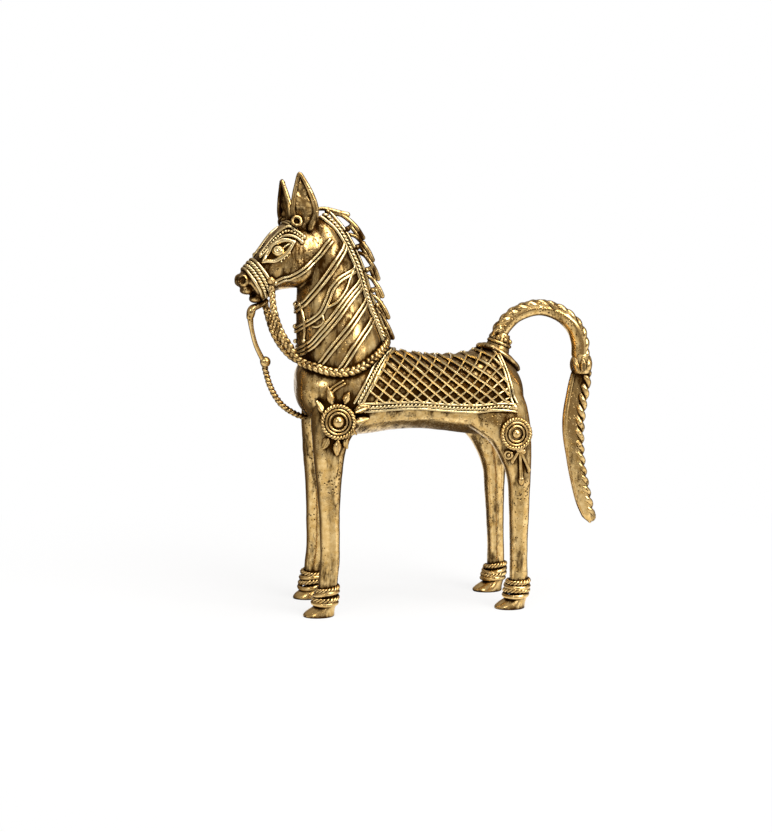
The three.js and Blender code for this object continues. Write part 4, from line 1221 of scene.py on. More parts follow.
@dataclass
class HeadWork:
    """Ears, eyes and the harness of the head, placed in the head's own frame."""

    trunk: Trunk
    surface: CastSurface
    left_ear: tuple[float, ...] = (20.4, 2.0, -6.2, 6.85, -0.3)
    right_ear: tuple[float, ...] = (17.9, 1.3, -9.6, 5.9, -1.39)
    ear_width: float = 9.2
    ear_base: float = 159.5
    ear_cup: float = 0.35
    ear_dents: float = 0.9
    dent_scale: float = 0.4
    band_normal: Vector = field(default_factory=lambda: vec(-0.856, 0.0, -0.517))
    band_middle: Vector = field(default_factory=lambda: vec(-21.7, 0.0, 139.6))
    band_rows: int = 4
    band_pitch: float = 1.7
    band_start: float = 13.0

    def spot(self, x: float, y: float, z: float) -> Vector:
        """A point of the head's frame in the gauge."""
        return self.trunk.head_frame() @ vec(x, y, z)

    def seat(self, x: float, y: float, z: float, stand: float = 0.0) -> tuple[Vector, Vector]:
        """The nearest place on the skin to a point of the head's frame."""
        return self.surface.seat(self.spot(x, y, z), stand)

    def side_seat(self, x: float, z: float, side: Side, stand: float = 0.0) -> tuple[Vector, Vector]:
        """A place on one side of the head, by x and z of its frame."""
        way = self.trunk.head_frame().to_3x3() @ vec(0.0, -side.value, 0.0)
        return self.surface.cast(self.spot(x, 40.0 * side.value, z), way, stand)

    def route(self, places: Sequence[Triple], side: Side, stand: float) -> Laid:
        """A smooth path on one side of the head, by x, distance from the middle plane and z."""
        raw = [self.spot(x, y * side.value, z) for x, y, z in places]
        return self.surface.run(raw, 0.6, stand)

    def ear(self, side: Side) -> list[BMesh]:
        """A leaf ear with a raised rim and a hollow face.

        Args:
            side: Left or right.

        Returns:
            Its bodies.
        """
        outline = line((0.0, 0.45), (0.14, 0.86), (0.32, 1.0), (0.62, 0.72), (0.88, 0.3), (1.0, 0.08))
        row = self.left_ear if side is Side.LEFT else self.right_ear
        height, lean_by, forward, aside, turn = row

        def half(t: float) -> float:
            """Half the ear's width at a share of its height."""
            return 0.5 * self.ear_width * outline(t)

        def lean(t: float) -> float:
            """How far the ear leans forward there."""
            return lean_by * max(t, 0.0) ** 2

        ovals = []
        for share in evenly(33):
            t = lerp(-0.1, 1.0, share)
            centre = vec(-lean(t), 0.0, height * t)
            up = vec(0.0, 0.62 + 0.25 * (1.0 - max(t, 0.0)), 0.0)
            ovals.append(Oval(centre, vec(half(t), 0.0, 0.0), up))
        blade = skin(ovals, 40)
        for vert in blade.verts:
            t = vert.co.z / height
            away = (vert.co.x + lean(t)) / half(t)
            vert.co.y += self.ear_cup * (1.0 - away * away) * min(1.0, half(t) / 3.0)
            vert.co.y += self.ear_dents * noise.noise(vert.co * self.dent_scale)
        edge = []
        for u in evenly(20):
            t = lerp(-0.06, 1.01, 1.0 - abs(2.0 * u - 1.0) ** 1.25)
            across = 0.0 if u == 0.5 else math.copysign(half(t), 0.5 - u)
            edge.append(vec(across - lean(t), -0.5, height * t))
        thickness = line((0.0, 1.45), (0.25, 1.25), (0.5, 0.85), (0.75, 1.0), (1.0, 1.1))
        rim = thread(smooth_path(edge, 0.6), thickness, 10)
        place = (
            self.trunk.head_frame()
            @ Matrix.Translation((forward, aside * side.value, self.ear_base))
            @ Matrix.Rotation(turn, 4, "Z")
            @ Matrix.Rotation(0.05, 4, "X")
        )
        return [moved(blade, place), moved(rim, place)]

    def eye(self, side: Side) -> list[BMesh]:
        """An almond eye: two lids of thread, the ball and its pupil.

        Args:
            side: Left or right.

        Returns:
            Its bodies.
        """
        upper = (
            (-23.2, 6.0, 144.6), (-21.6, 6.6, 148.8), (-19.2, 7.6, 151.8),
            (-15.8, 8.4, 153.4), (-11.6, 9.4, 152.6),
        )
        lower = ((-23.2, 6.4, 144.6), (-19.4, 8.6, 145.6), (-15.4, 9.6, 148.4), (-11.6, 9.4, 152.6))
        forms = []
        for lid in (upper, lower):
            path, outs = self.route(lid, side, 0.5)
            forms.append(thread(path, line((0.0, 0.65), (0.5, 1.05), (1.0, 0.65)), 8, 1.2, outs))
        centre, out = self.side_seat(-17.6, 149.0, side, -0.2)
        forms.append(bead(centre, 2.7, detail=3))
        forms.append(hoop(facing(centre + out * 2.35, out), 1.25, 0.34, 24, 6))
        corner, outs = self.route(((-16.6, 9.0, 150.4), (-14.6, 9.2, 151.6), (-12.8, 9.4, 152.2)), side, 0.1)
        forms.append(thread(corner, 0.6, 7, 1.0, outs))
        for share in evenly(3):
            x, z = lerp(-17.2, -13.4, share), lerp(145.4, 148.4, share)
            low, _ = self.seat(x, 9.6 * side.value, z - 0.4, 0.3)
            forms.append(bead(low, 0.5, detail=1))
        return forms

    def brow_band(self) -> list[BMesh]:
        """Two threads with a row of beads between them over each eye, and two threads over the crown.

        Returns:
            Their bodies.
        """
        upper = (
            (-24.2, 3.4, 148.0), (-20.4, 4.2, 152.6), (-16.0, 4.6, 156.4),
            (-12.3, 5.2, 158.4), (-9.8, 7.8, 157.0), (-7.4, 9.4, 154.8),
        )
        lower = (
            (-24.3, 4.6, 146.8), (-20.6, 6.0, 151.0), (-16.6, 7.2, 154.4),
            (-14.0, 7.8, 155.2), (-11.0, 9.0, 154.6), (-8.6, 10.0, 152.8),
        )
        between = (
            (-24.2, 4.0, 147.4), (-20.5, 5.1, 151.8), (-16.3, 5.9, 155.4),
            (-13.2, 6.5, 156.8), (-10.4, 8.4, 155.8), (-8.0, 9.8, 153.8),
        )
        crown = (
            (-10.4, -7.6, 157.6), (-11.6, -4.0, 159.6), (-12.2, 0.0, 160.2),
            (-11.6, 4.0, 159.6), (-10.4, 7.6, 157.6),
        )
        forms = []
        for side in Side:
            for places in (upper, lower):
                path, outs = self.route(places, side, 0.45)
                forms.append(laid(path, 0.62, outs))
                forms.append(bead(path[-1], 1.05))
            path, _ = self.route(between, side, 0.45)
            forms.extend(bead(spot, 0.66, detail=1) for spot in path[1:-1:2])
            knob, _ = self.seat(-24.0, 4.2 * side.value, 147.6, 0.6)
            forms.append(bead(knob, 1.05))
        for gap in (-0.7, 0.7):
            over = [self.spot(x + gap, y, z) for x, y, z in crown]
            forms.append(self.surface.strand(over, 0.5, 0.6, 0.4))
        return forms

    def noseband(self) -> list[BMesh]:
        """Rows of twisted thread round the nose.

        Returns:
            Their bodies.
        """
        frame = self.trunk.head_frame()
        high = vec(self.band_normal.z, 0.0, -self.band_normal.x)
        forms = []
        for row in range(self.band_rows):
            middle = self.band_middle + self.band_normal * (self.band_pitch * (row + 0.5))
            path, outs = [], []
            for i in range(ROUND_STEPS + 1):
                angle = TURN * i / ROUND_STEPS
                way = vec(0.0, math.cos(angle), 0.0) + high * math.sin(angle)
                start = frame @ (middle + way * self.band_start)
                spot, out = self.surface.cast(start, frame.to_3x3() @ -way, 0.55)
                path.append(spot)
                outs.append(out)
            path = smooth_path(path[::2], 0.4)
            outs = [self.surface.seat(spot)[1] for spot in path]
            if row in (0, self.band_rows - 1):
                forms.append(thread(path, 0.72, 7, 1.0, outs))
            else:
                forms.extend(twisted(path, 0.95, 2.9, 2, 6, outs))
        return forms

    def jaw_strap(self, side: Side) -> list[BMesh]:
        """Two threads from behind the cheek to the noseband, with a knob where they end.

        Args:
            side: Left or right.

        Returns:
            Their bodies.
        """
        places = (
            (3.9, 8.6, 153.0), (-0.3, 9.6, 148.5), (-7.0, 10.4, 142.4),
            (-13.1, 10.0, 138.6), (-19.2, 9.0, 135.6),
        )
        path, outs = self.route(places, side, 0.42)
        return [*laid_rows(path, outs, (-0.78, 0.78), 0.55), bead(path[-1], 1.15)]

    def poll_ring(self, side: Side) -> list[BMesh]:
        """A small eye of coiled thread at the foot of an ear.

        Args:
            side: Left or right.

        Returns:
            Its bodies.
        """
        lump = self.spot(-9.8, 6.5 * side.value, 160.6)
        out = (self.trunk.head_frame().to_3x3() @ vec(-0.2, 0.95 * side.value, 0.2)).normalized()
        centre = lump + out * 2.3
        return [
            bead(lump, vec(2.3, 1.5, 2.3), detail=3),
            hoop(facing(centre, out), 1.75, 0.75, 28, 8),
        ]

    def build(self, foundry: Foundry) -> None:
        """Makes the head's pieces."""
        for side in Side:
            word = side.label
            foundry.lay(f"leaf_ear_{word}", [f"ear_{word}"], self.ear(side), BODY_BRASS)
            foundry.lay(f"almond_eye_{word}", [f"eye_{word}"], self.eye(side), PAINTED_LIT_THREAD_BRASS)
            foundry.lay(f"laid_jaw_strap_{word}", [f"jaw_strap_{word}"], self.jaw_strap(side), PAINTED_LIT_THREAD_BRASS)
            foundry.lay(f"coiled_poll_ring_{word}", [f"poll_ring_{word}"], self.poll_ring(side), BODY_BRASS)
        foundry.lay("laid_brow_band", ["brow_band"], self.brow_band(), PAINTED_LIT_THREAD_BRASS)
        foundry.lay("laid_noseband", ["noseband"], self.noseband(), PAINTED_LIT_THREAD_BRASS)


@dataclass
class Bridle:
    """The twisted reins and the lead, cast stiff in their curves."""

    head: HeadWork
    surface: CastSurface
    rein_radius: float = 1.9
    rein_period: float = 7.4
    lead_radius: float = 0.95
    left_free: tuple[Triple, ...] = (
        (-58.4, -11.4, 131.3), (-57.9, -11.6, 125.7), (-55.5, -11.4, 117.4), (-51.8, -10.8, 110.8)
    )
    right_free: tuple[Triple, ...] = (
        (-61.0, 4.0, 131.8), (-59.7, 3.8, 126.6), (-56.5, 4.6, 116.4), (-52.4, 6.4, 109.6)
    )

    def rein(self, side: Side) -> list[BMesh]:
        """One rein from the noseband, down past the chest and back to the withers.

        Args:
            side: Left or right.

        Returns:
            Its strands.
        """
        bit = self.head.spot(-21.2, 8.6 * side.value, 137.4)
        places = (
            (-46.0, 104.8), (-39.6, 101.2), (-33.4, 99.6), (-26.8, 100.4), (-21.2, 103.0), (-16.6, 106.6)
        )
        beside = self.surface.beside(places, side, self.rein_radius * 0.8)
        beside[0].y = side.value * max(abs(beside[0].y), 0.62 * abs(beside[1].y))
        free = points(*(self.left_free if side is Side.LEFT else self.right_free))
        shoulder = vec(-11.2, 6.6 * side.value, 110.6)
        end = vec(-9.4, 0.6 * side.value, 112.0)
        path = smooth_path([bit, *free, *beside, shoulder, end], 0.4)
        thickness = line((0.0, 0.66), (0.2, 0.84), (0.36, 0.98), (1.0, 0.98))
        outs = [self._outward(spot, side) for spot in path]
        forms = plaited(path, outs, thickness, 0.95, 0.5, self.rein_period, 8)
        forms.append(bead(bit, 1.7))
        return forms

    def _outward(self, spot: Vector, side: Side) -> Vector:
        """The way out at a place of a rein: out of the skin where it lies, aside where it hangs."""
        seat, out = self.surface.seat(spot)
        loose = min(max(((spot - seat).length - 2.0) / 6.0, 0.0), 1.0)
        return out.lerp(vec(0.0, side.value, 0.0), loose).normalized()

    def lead(self) -> list[BMesh]:
        """The thin lead from the chin to the chest, with a knob and a bead.

        Returns:
            Its bodies.
        """
        stub = points((-60.2, -4.6, 128.8), (-63.0, -5.2, 127.2), (-65.9, -5.4, 125.8), (-66.9, -5.4, 122.6))
        route = points(
            (-66.3, -5.3, 117.6), (-64.6, -4.8, 111.0), (-61.6, -3.8, 104.6), (-58.6, -2.4, 93.8),
            (-54.0, -1.2, 86.2), (-48.2, -0.4, 82.0), (-43.8, 0.0, 80.4),
        )
        stem = smooth_path([stub[-1], *route[:3]], 0.6)
        tail = smooth_path(route[2:], 0.35)
        forms = [
            thread(smooth_path(stub, 0.5), line((0.0, 1.1), (0.45, 1.35), (0.8, 1.85), (1.0, 1.6)), 12),
            thread(stem, line((0.0, 1.3), (0.3, 0.95), (1.0, 1.05)), 8),
            bead(route[2] + vec(0.9, 0.0, -0.6), vec(2.2, 1.9, 2.3), detail=3),
        ]
        forms.extend(twisted(tail, self.lead_radius * 1.45, 3.6, 2, 6))
        return forms

    def build(self, foundry: Foundry) -> None:
        """Makes the reins and the lead."""
        for side in Side:
            foundry.lay(f"twisted_rein_{side.label}", [f"rein_{side.label}"], self.rein(side), BODY_BRASS)
        foundry.lay("knotted_lead", ["lead_rope"], self.lead(), BODY_BRASS)


@dataclass
class NeckWork:
    """The mane with its strap, and the threads round the neck."""

    trunk: Trunk
    surface: CastSurface
    arcs: tuple[Pair, ...] = (
        (0.0, 0.15), (0.09, 0.31), (0.25, 0.46), (0.38, 0.58), (0.54, 0.71), (0.68, 0.86), (0.79, 1.0)
    )
    arc_rise: Profile = line((0.0, 5.7), (0.3, 6.1), (0.6, 5.7), (0.86, 4.3), (1.0, 3.0))
    arc_radius: float = 1.0
    arc_stand: float = 1.3
    arc_double: float = 1.5

    def crest_line(self) -> list[Vector]:
        """The neck's back edge from the withers to the poll."""
        heights = (111.5, 121.0, 131.0, 140.0, 149.0, 156.0, 160.5, 163.4)
        spots = [vec(self.trunk.neck_back(z), 0.0, z) for z in heights]
        spots.append(vec(-38.6, 0.0, 164.6))
        return smooth_path(spots, 0.5)

    def strap(self) -> list[BMesh]:
        """A fin of threads: one on each side, twisted ones above them and one along the top.

        Returns:
            Their bodies.
        """
        base = self.crest_line()[:-6]
        outs = [vec(way.z, 0.0, -way.x) for way in ways(base)]
        forms = [thread([spot + out * 2.4 for spot, out in zip(base, outs)], 0.8, 8)]
        for side in Side:
            for aside, drop, stand, radius in ((5.2, 1.7, 0.4, 0.72), (1.6, 0.0, 0.75, 1.15)):
                raw = [spot + vec(-drop, aside * side.value, 0.0) for spot in base]
                path, normals = self.surface.lay(raw, stand)
                if drop:
                    forms.append(laid(path, radius, normals))
                else:
                    forms.extend(twisted(path, radius, 3.4, 2, 7, normals))
        return forms

    def crest(self) -> list[BMesh]:
        """Overlapping arcs of thread that stand off the strap, doubled at their tips, each on a short post.

        Returns:
            Their bodies.
        """
        base = self.crest_line()
        outs = [vec(way.z, 0.0, -way.x) for way in ways(base)]
        last = len(base) - 1
        forms = []

        def off(share: float, height: float) -> Vector:
            """A point off the crest line at a share of its length from the top."""
            place = min(max((1.0 - share) * last, 0.0), float(last))
            index = min(int(place), last - 1)
            spot = base[index].lerp(base[index + 1], place - index)
            return spot + outs[index] * height

        hooked = ((0.0, 0.3), (0.16, 0.62), (0.42, 0.82), (0.7, 0.96), (1.0, 1.0))
        straight = ((0.0, 0.05), (0.25, 0.2), (0.5, 0.42), (0.75, 0.7), (1.0, 1.0))
        thickness = line((0.0, 0.8), (0.5, self.arc_radius), (1.0, self.arc_radius * 1.05))
        for i, (start, tip) in enumerate(self.arcs):
            rise = self.arc_rise(tip)
            shape = hooked if i else straight
            arc = [off(lerp(start, tip, u), self.arc_stand + rise * h) for u, h in shape]
            forms.append(thread(smooth_path(arc, 0.5), thickness, 9))
            place = self.arcs[i + 1][0] - 0.03 if i + 1 < len(self.arcs) else 0.93
            if i:
                bend = line(*shape)
                inner = []
                for share in (place, lerp(place, tip, 0.5), tip):
                    height = self.arc_stand + rise * bend((share - start) / (tip - start))
                    inner.append(off(share, height - self.arc_double * self.arc_radius))
                forms.append(thread(smooth_path(inner, 0.5), 0.9 * self.arc_radius, 9))
            foot, head = off(place, 1.5), off(place - 0.01, 1.2 + rise * (0.9 if i else 0.3))
            forms.append(thread(smooth_path([foot, foot.lerp(head, 0.5), head], 0.6), 0.95, 8))
            forms.append(bead(foot.lerp(head, 0.4), 1.3))
        return forms

    def _band(
        self,
        places: Sequence[Pair],
        gaps: Sequence[float],
        radius: float,
        throat: Pair | None = None,
    ) -> list[BMesh]:
        """A band of threads beside each other.

        Args:
            places: x and z of its places on the left side, from the crest down.
            gaps: How far each thread lies from the middle of the band.
            radius: The radius of each thread.
            throat: x and z of its place on the middle plane, if it goes round.

        Returns:
            Its threads, on the left, or on both sides where it goes round.
        """
        left = self.surface.beside(places, Side.LEFT)
        route = list(left)
        if throat is not None:
            route.append(vec(throat[0], 0.0, throat[1]))
            route.extend(reversed(mirrored(left)))
        path, outs = self.surface.run(route, LAID_SPACING, LAID_STAND)
        return laid_rows(path, outs, gaps, radius)

    def _throat_work(self, side: Side) -> list[BMesh]:
        """What hangs on the second band at one side: a loop, a drop with a bead at each end, and an eye.

        Args:
            side: Left or right.

        Returns:
            Its bodies.
        """
        loop = ((-24.0, 143.6), (-26.4, 138.2), (-28.6, 133.2), (-32.2, 128.6), (-35.6, 126.6))
        drop = ((-46.2, 5.0, 127.6), (-44.8, 6.8, 123.0), (-44.5, 7.6, 117.0), (-44.9, 7.2, 112.6))
        eye = ((-38.2, 123.6), (-37.8, 120.6), (-40.0, 118.6), (-41.8, 118.6))
        route = [vec(x, y * side.value, z) for x, y, z in drop]
        path, outs = self.surface.run(route, LAID_SPACING, LAID_STAND)
        return [
            self.surface.strand(self.surface.beside(loop, side), 0.55),
            laid(path, 0.62, outs),
            bead(path[0], 1.15),
            bead(path[-1], 1.05),
            self.surface.strand(self.surface.beside(eye, side), 0.5, 0.6),
        ]

    def collars(self) -> list[list[BMesh]]:
        """The three bands that go round the throat.

        Returns:
            The bodies of each band.
        """
        first = self._band(
            ((-28.0, 151.2), (-33.5, 142.6), (-38.4, 135.8), (-42.2, 131.0), (-45.0, 127.6)),
            (-0.9, 0.9),
            0.66,
            (-47.6, 124.8),
        )
        second = self._band(
            ((-24.6, 141.0), (-31.2, 137.2), (-34.4, 133.4), (-35.9, 129.6), (-38.9, 123.8), (-44.1, 119.6)),
            (-0.75, 0.75),
            0.6,
            (-47.6, 116.6),
        )
        third = self._band(
            ((-21.4, 136.0), (-27.9, 129.0), (-33.1, 122.4), (-37.9, 116.6), (-43.0, 110.6)),
            (-1.55, 0.0, 1.55),
            0.62,
            (-46.8, 107.4),
        )
        for side in Side:
            second.extend(self._throat_work(side))
        for z in (127.4, 118.2, 112.0):
            spot, _ = self.surface.seat(vec(-50.0, 0.0, z), 0.5)
            second.append(bead(spot, 1.0))
        return [first, second, third]

    def side_bands(self) -> list[list[BMesh]]:
        """The lower bands of the left side, which end on the rein.

        Returns:
            The bodies of each band.
        """
        fourth = ((-19.2, 128.8), (-25.7, 120.4), (-30.9, 114.3), (-35.4, 108.8), (-39.0, 103.6))
        fifth = ((-17.2, 120.6), (-22.9, 113.6), (-26.4, 109.0), (-30.0, 103.4), (-32.6, 99.6))
        return [self._band(places, (-0.9, 0.9), 0.64) for places in (fourth, fifth)]

    def build(self, foundry: Foundry) -> None:
        """Makes the mane and the bands."""
        foundry.lay("laid_mane_strap", ["mane_strap"], self.strap(), PAINTED_LIT_THREAD_BRASS)
        foundry.lay("feathered_mane", ["mane_crest"], self.crest(), BODY_BRASS)
        for i, forms in enumerate(self.collars()):
            foundry.lay(f"laid_neck_band_{i + 1}", [f"neck_band_{i + 1}"], forms, PAINTED_LIT_THREAD_BRASS)
        for side in Side:
            for i, forms in enumerate(self.side_bands()):
                whole = gathered(forms)
                if side is Side.RIGHT:
                    mirror_form(whole)
                name = f"neck_band_{i + 4}_{side.label}"
                foundry.dress(f"laid_{name}", [name], whole, PAINTED_LIT_THREAD_BRASS)


def mirror_form(form: BMesh) -> None:
    """Turns a form into its mirror image across the middle plane."""
    bmesh.ops.scale(form, vec=(1.0, -1.0, 1.0), verts=form.verts[:])
    bmesh.ops.reverse_faces(form, faces=form.faces[:])


@dataclass
class Saddle:
    """The net of threads on each side, with its hem and its front and rear straps."""

    trunk: Trunk
    surface: CastSurface
    front_top: float = -5.4
    front_lean: float = 17.2
    rear_top: float = 33.2
    rear_lean: float = 5.8
    top_girth: float = 0.04
    hem_girth: float = 1.1
    net_pitch: float = 5.2
    net_drop: float = 22.0
    net_radius: float = 0.58
    under: float = 0.6
    over: float = 1.05
    strap_radius: float = 0.6
    under_shift: float = 0.9
    under_slants: Pair = (0.72, 1.45)
    over_shift: float = 0.6
    over_slant: float = 1.16
    hem_start: float = 0.015
    hem_pitch: float = 0.056

    def front_x(self, v: float) -> float:
        """The net's front edge, at a share of the way from the back to the hem."""
        return self.front_top - self.front_lean * v

    def rear_x(self, v: float) -> float:
        """The net's rear edge, at a share of the way from the back to the hem."""
        return self.rear_top + self.rear_lean * v

    def girth_spot(self, x: float, girth: float, side: Side) -> Vector:
        """A place on the torso, with girth 0 on the spine and 1 at its widest."""
        spot = self.trunk.torso_oval(x).point(QUARTER * (1.0 + girth))
        return vec(spot.x, -spot.y * side.value, spot.z)

    def net(self, side: Side) -> list[BMesh]:
        """The two layers of slanting threads.

        Args:
            side: Left or right.

        Returns:
            Their bodies.
        """
        front = self.front_x(1.0)
        rows = math.ceil((self.rear_x(1.0) - front) / self.net_pitch)
        runs = []
        for i in range(-1, rows + 1):
            low = front + self.net_pitch * (i + self.under_shift)
            runs.append((low, self.net_drop * lerp(*self.under_slants, i / rows), self.under))
        for i in range(rows + 5):
            low = front + self.net_pitch * (i + self.over_shift)
            runs.append((low, -self.net_drop * self.over_slant, self.over))
        forms = []
        for low, slant, stand in runs:
            places = [(low + slant * (1.0 - self._fall(v)), v) for v in evenly(60)]
            kept = [(x, v) for x, v in places if self.front_x(v) <= x <= self.rear_x(v)]
            if len(kept) < 6:
                continue
            girths = [(x, lerp(self.top_girth, self.hem_girth, v)) for x, v in kept[::3] + kept[-1:]]
            raw = [self.girth_spot(x, girth, side) for x, girth in girths]
            path, outs = self.surface.run(raw, 0.9, 0.0)
            spine = self.trunk.back((path[0].x - self.trunk.chest_x) / self.trunk.length)
            lifted = [
                spot + out * (stand * min(1.0, 0.25 + 0.22 * max(spine - spot.z, 0.0)))
                for spot, out in zip(path, outs)
            ]
            forms.append(thread(lifted, self.net_radius, 6, LAID_FLAT, outs))
        return forms

    def _fall(self, v: float) -> float:
        """How far a place has come down from the back to the hem, as a share."""
        low = math.cos(QUARTER * self.hem_girth)
        return (1.0 - math.cos(QUARTER * lerp(self.top_girth, self.hem_girth, v))) / (1.0 - low)

    def hem(self, side: Side) -> list[BMesh]:
        """Two plain threads with a twisted one between, below the net.

        Args:
            side: Left or right.

        Returns:
            Their bodies.
        """
        start, end = self.front_x(1.0) - 1.5, self.rear_x(1.0) + 1.2
        forms = []
        for row in range(3):
            girth = self.hem_girth + self.hem_start + self.hem_pitch * row
            raw = [self.girth_spot(lerp(start, end, share), girth, side) for share in evenly(8)]
            path, outs = self.surface.run(raw, 0.5, 0.55)
            if row == 1:
                forms.extend(twisted(path, 0.85, 3.2, 2, 6, outs))
            else:
                forms.append(laid(path, self.strap_radius, outs))
        corner = self.girth_spot(self.rear_x(1.0) + 0.8, self.hem_girth + 0.06, side)
        forms.append(bead(self.surface.seat(corner, 0.7)[0], 1.5))
        return forms

    def strap(self, front: bool) -> list[BMesh]:
        """The threads that run over the back at one edge of the net.

        Args:
            front: Whether it is the front edge.

        Returns:
            Their bodies.
        """
        forms = []
        gaps = (0.4, 2.1, 3.8) if front else (0.6, 2.2)
        girths = (1.1, 0.9, 0.7, 0.5, 0.3, 0.1)
        over = [(Side.LEFT, girth) for girth in girths] + [(Side.RIGHT, girth) for girth in girths[::-1]]
        for row, gap in enumerate(gaps):
            route = []
            for side, girth in over:
                v = min(max((girth - self.top_girth) / (self.hem_girth - self.top_girth), 0.0), 1.0)
                x = self.front_x(v) - gap if front else self.rear_x(v) + gap
                route.append(self.girth_spot(x, girth, side))
            path, outs = self.surface.run(route, 0.6, 0.5)
            if front and row == 1:
                forms.extend(twisted(path, 0.8, 3.2, 2, 6, outs))
            else:
                forms.append(laid(path, self.strap_radius, outs))
        return forms

    def build(self, foundry: Foundry) -> None:
        """Makes the saddle's pieces."""
        for side in Side:
            word = side.label
            foundry.lay(f"laid_saddle_net_{word}", [f"saddle_net_{word}"], self.net(side), PAINTED_LIT_THREAD_BRASS)
            foundry.lay(f"laid_saddle_hem_{word}", [f"saddle_hem_{word}"], self.hem(side), PAINTED_LIT_THREAD_BRASS)
        foundry.lay("laid_saddle_front", ["saddle_front_strap"], self.strap(True), PAINTED_LIT_THREAD_BRASS)
        foundry.lay("laid_saddle_rear", ["saddle_rear_strap"], self.strap(False), PAINTED_LIT_THREAD_BRASS)


@dataclass
class Rosettes:
    """Coiled rosettes on shoulders and haunches, with petals and tassels."""

    surface: CastSurface
    shoulder: Pair = (-33.3, 80.6)
    haunch: Pair = (40.7, 74.2)
    shoulder_radius: float = 7.2
    haunch_radius: float = 6.8
    stand: float = 0.7
    rim_turns: float = 15.0
    petal_height: float = 1.75

    def _place(self, at: Pair, side: Side) -> Matrix:
        """A rosette's place, looking out of the skin."""
        spot, out = self.surface.aside(*at, side, self.stand)
        level = (out + vec(0.0, side.value * 1.2, 0.0)).normalized()
        return facing(spot, level)

    def disc(self, place: Matrix, radius: float, rings: Sequence[float], boss: float) -> list[BMesh]:
        """A rosette's bed, boss, plain rings and twisted outer ring.

        Args:
            place: Where it is, with z the way out.
            radius: Its outer radius.
            rings: The radius of each plain ring.
            boss: The radius of the boss.

        Returns:
            Its bodies.
        """
        steps = ((-5.0, radius * 0.9), (0.0, radius * 0.93), (0.35, radius * 0.88), (0.4, 0.3))
        bed = [
            Oval(vec(0.0, 0.0, depth), vec(reach, 0.0, 0.0), vec(0.0, reach, 0.0))
            for depth, reach in steps
        ]
        half_axes = vec(boss, boss, boss * 0.85)
        forms = [
            moved(skin(bed, 40), place),
            bead(place @ vec(0.0, 0.0, 0.5), half_axes, place.to_3x3().to_4x4(), 3),
        ]
        for reach in rings:
            forms.append(hoop(place @ Matrix.Translation((0.0, 0.0, 0.75)), reach, 0.52, 48, 7))
        reach = radius - 0.75
        outer = around(place, reach, 0.55)
        up = [place.to_3x3() @ vec(0.0, 0.0, 1.0)] * len(outer)
        forms.extend(twisted(outer, 1.0, TURN * reach / self.rim_turns, 2, 6, up))
        return forms

    def petal(self, place: Matrix, angle: float, start: float, length: float, width: float) -> list[BMesh]:
        """A leaf beside a rosette, laid on the skin.

        Args:
            place: The rosette's place.
            angle: Its direction, from the rosette's x axis.
            start: How far from the rosette's middle it starts.
            length: Its length.
            width: Its width.

        Returns:
            Its bodies.
        """
        way = vec(math.cos(angle), math.sin(angle), 0.0)
        foot, out = self.surface.seat(place @ (way * start), 0.6)
        tip, _ = self.surface.seat(place @ (way * (start + length)), 0.6)
        x = (tip - foot).normalized()
        z = (out - x * out.dot(x)).normalized()
        return leaf(basis(x, z.cross(x), z, foot), (tip - foot).length, width, self.petal_height)

    def shoulder_forms(self, side: Side) -> list[BMesh]:
        """A shoulder rosette with petals and the short strap above it.

        Args:
            side: Left or right.

        Returns:
            Its bodies.
        """
        place = self._place(self.shoulder, side)
        forms = self.disc(place, self.shoulder_radius, (3.55, 4.95), 2.45)
        petals = (
            (-0.05, 6.2, 3.8), (0.46, 7.6, 4.2), (1.2, 5.6, 3.4), (1.86, 8.0, 3.6), (2.55, 5.4, 3.4),
            (4.15, 5.8, 3.8), (4.68, 6.6, 3.8), (5.17, 5.8, 3.6), (5.72, 6.0, 3.6),
        )
        for angle, length, width in petals:
            turned = angle if side is Side.LEFT else math.pi - angle
            forms.extend(self.petal(place, turned, self.shoulder_radius + 0.1, length, width))
        route = self.surface.beside(((-36.6, 92.0), (-34.0, 94.4), (-30.4, 96.4)), side)
        path, outs = self.surface.run(route, 0.6, LAID_STAND)
        forms.extend(laid_rows(path, outs, (-0.7, 0.7), 0.5))
        return forms

    def haunch_forms(self, side: Side) -> list[BMesh]:
        """The bodies of a haunch rosette, wound of three rings."""
        return self.disc(self._place(self.haunch, side), self.haunch_radius, (3.2, 4.7), 1.95)

    def tassel(self, side: Side) -> list[BMesh]:
        """Three stems with drop ends below a haunch rosette.

        Args:
            side: Left or right.

        Returns:
            Their bodies.
        """
        x, z = self.haunch
        lead = 0.0 if side is Side.LEFT else 2.4
        top, start = x + 1.8 - lead, z - 6.6
        knot, _ = self.surface.aside(top, start, side, 0.7)
        forms = [bead(knot, vec(1.8, 1.3, 1.5)), bead(knot + vec(1.5, 0.0, -0.8), 1.2)]
        for drift, length, drop in ((0.9, 13.0, 1.6), (4.0, 8.6, 1.15), (-2.6, 4.6, 1.15)):
            places = [(top + drift * u, start - length * u) for u in (0.0, 0.35, 0.7, 1.0)]
            path, outs = self.surface.run(self.surface.beside(places, side), 0.6, 0.45)
            forms.append(laid(path, line((0.0, 0.65), (0.6, 0.75), (1.0, 0.95)), outs))
            forms.append(bead(path[-1], vec(drop * 0.8, drop * 0.7, drop * 1.3)))
        curl, _ = self.surface.aside(x - 2.4 - lead, z - 8.8, side, 0.5)
        out = self.surface.seat(curl)[1]
        forms.append(hoop(facing(curl, out), 1.5, 0.6, 24, 7))
        forms.append(bead(curl, 0.9))
        return forms

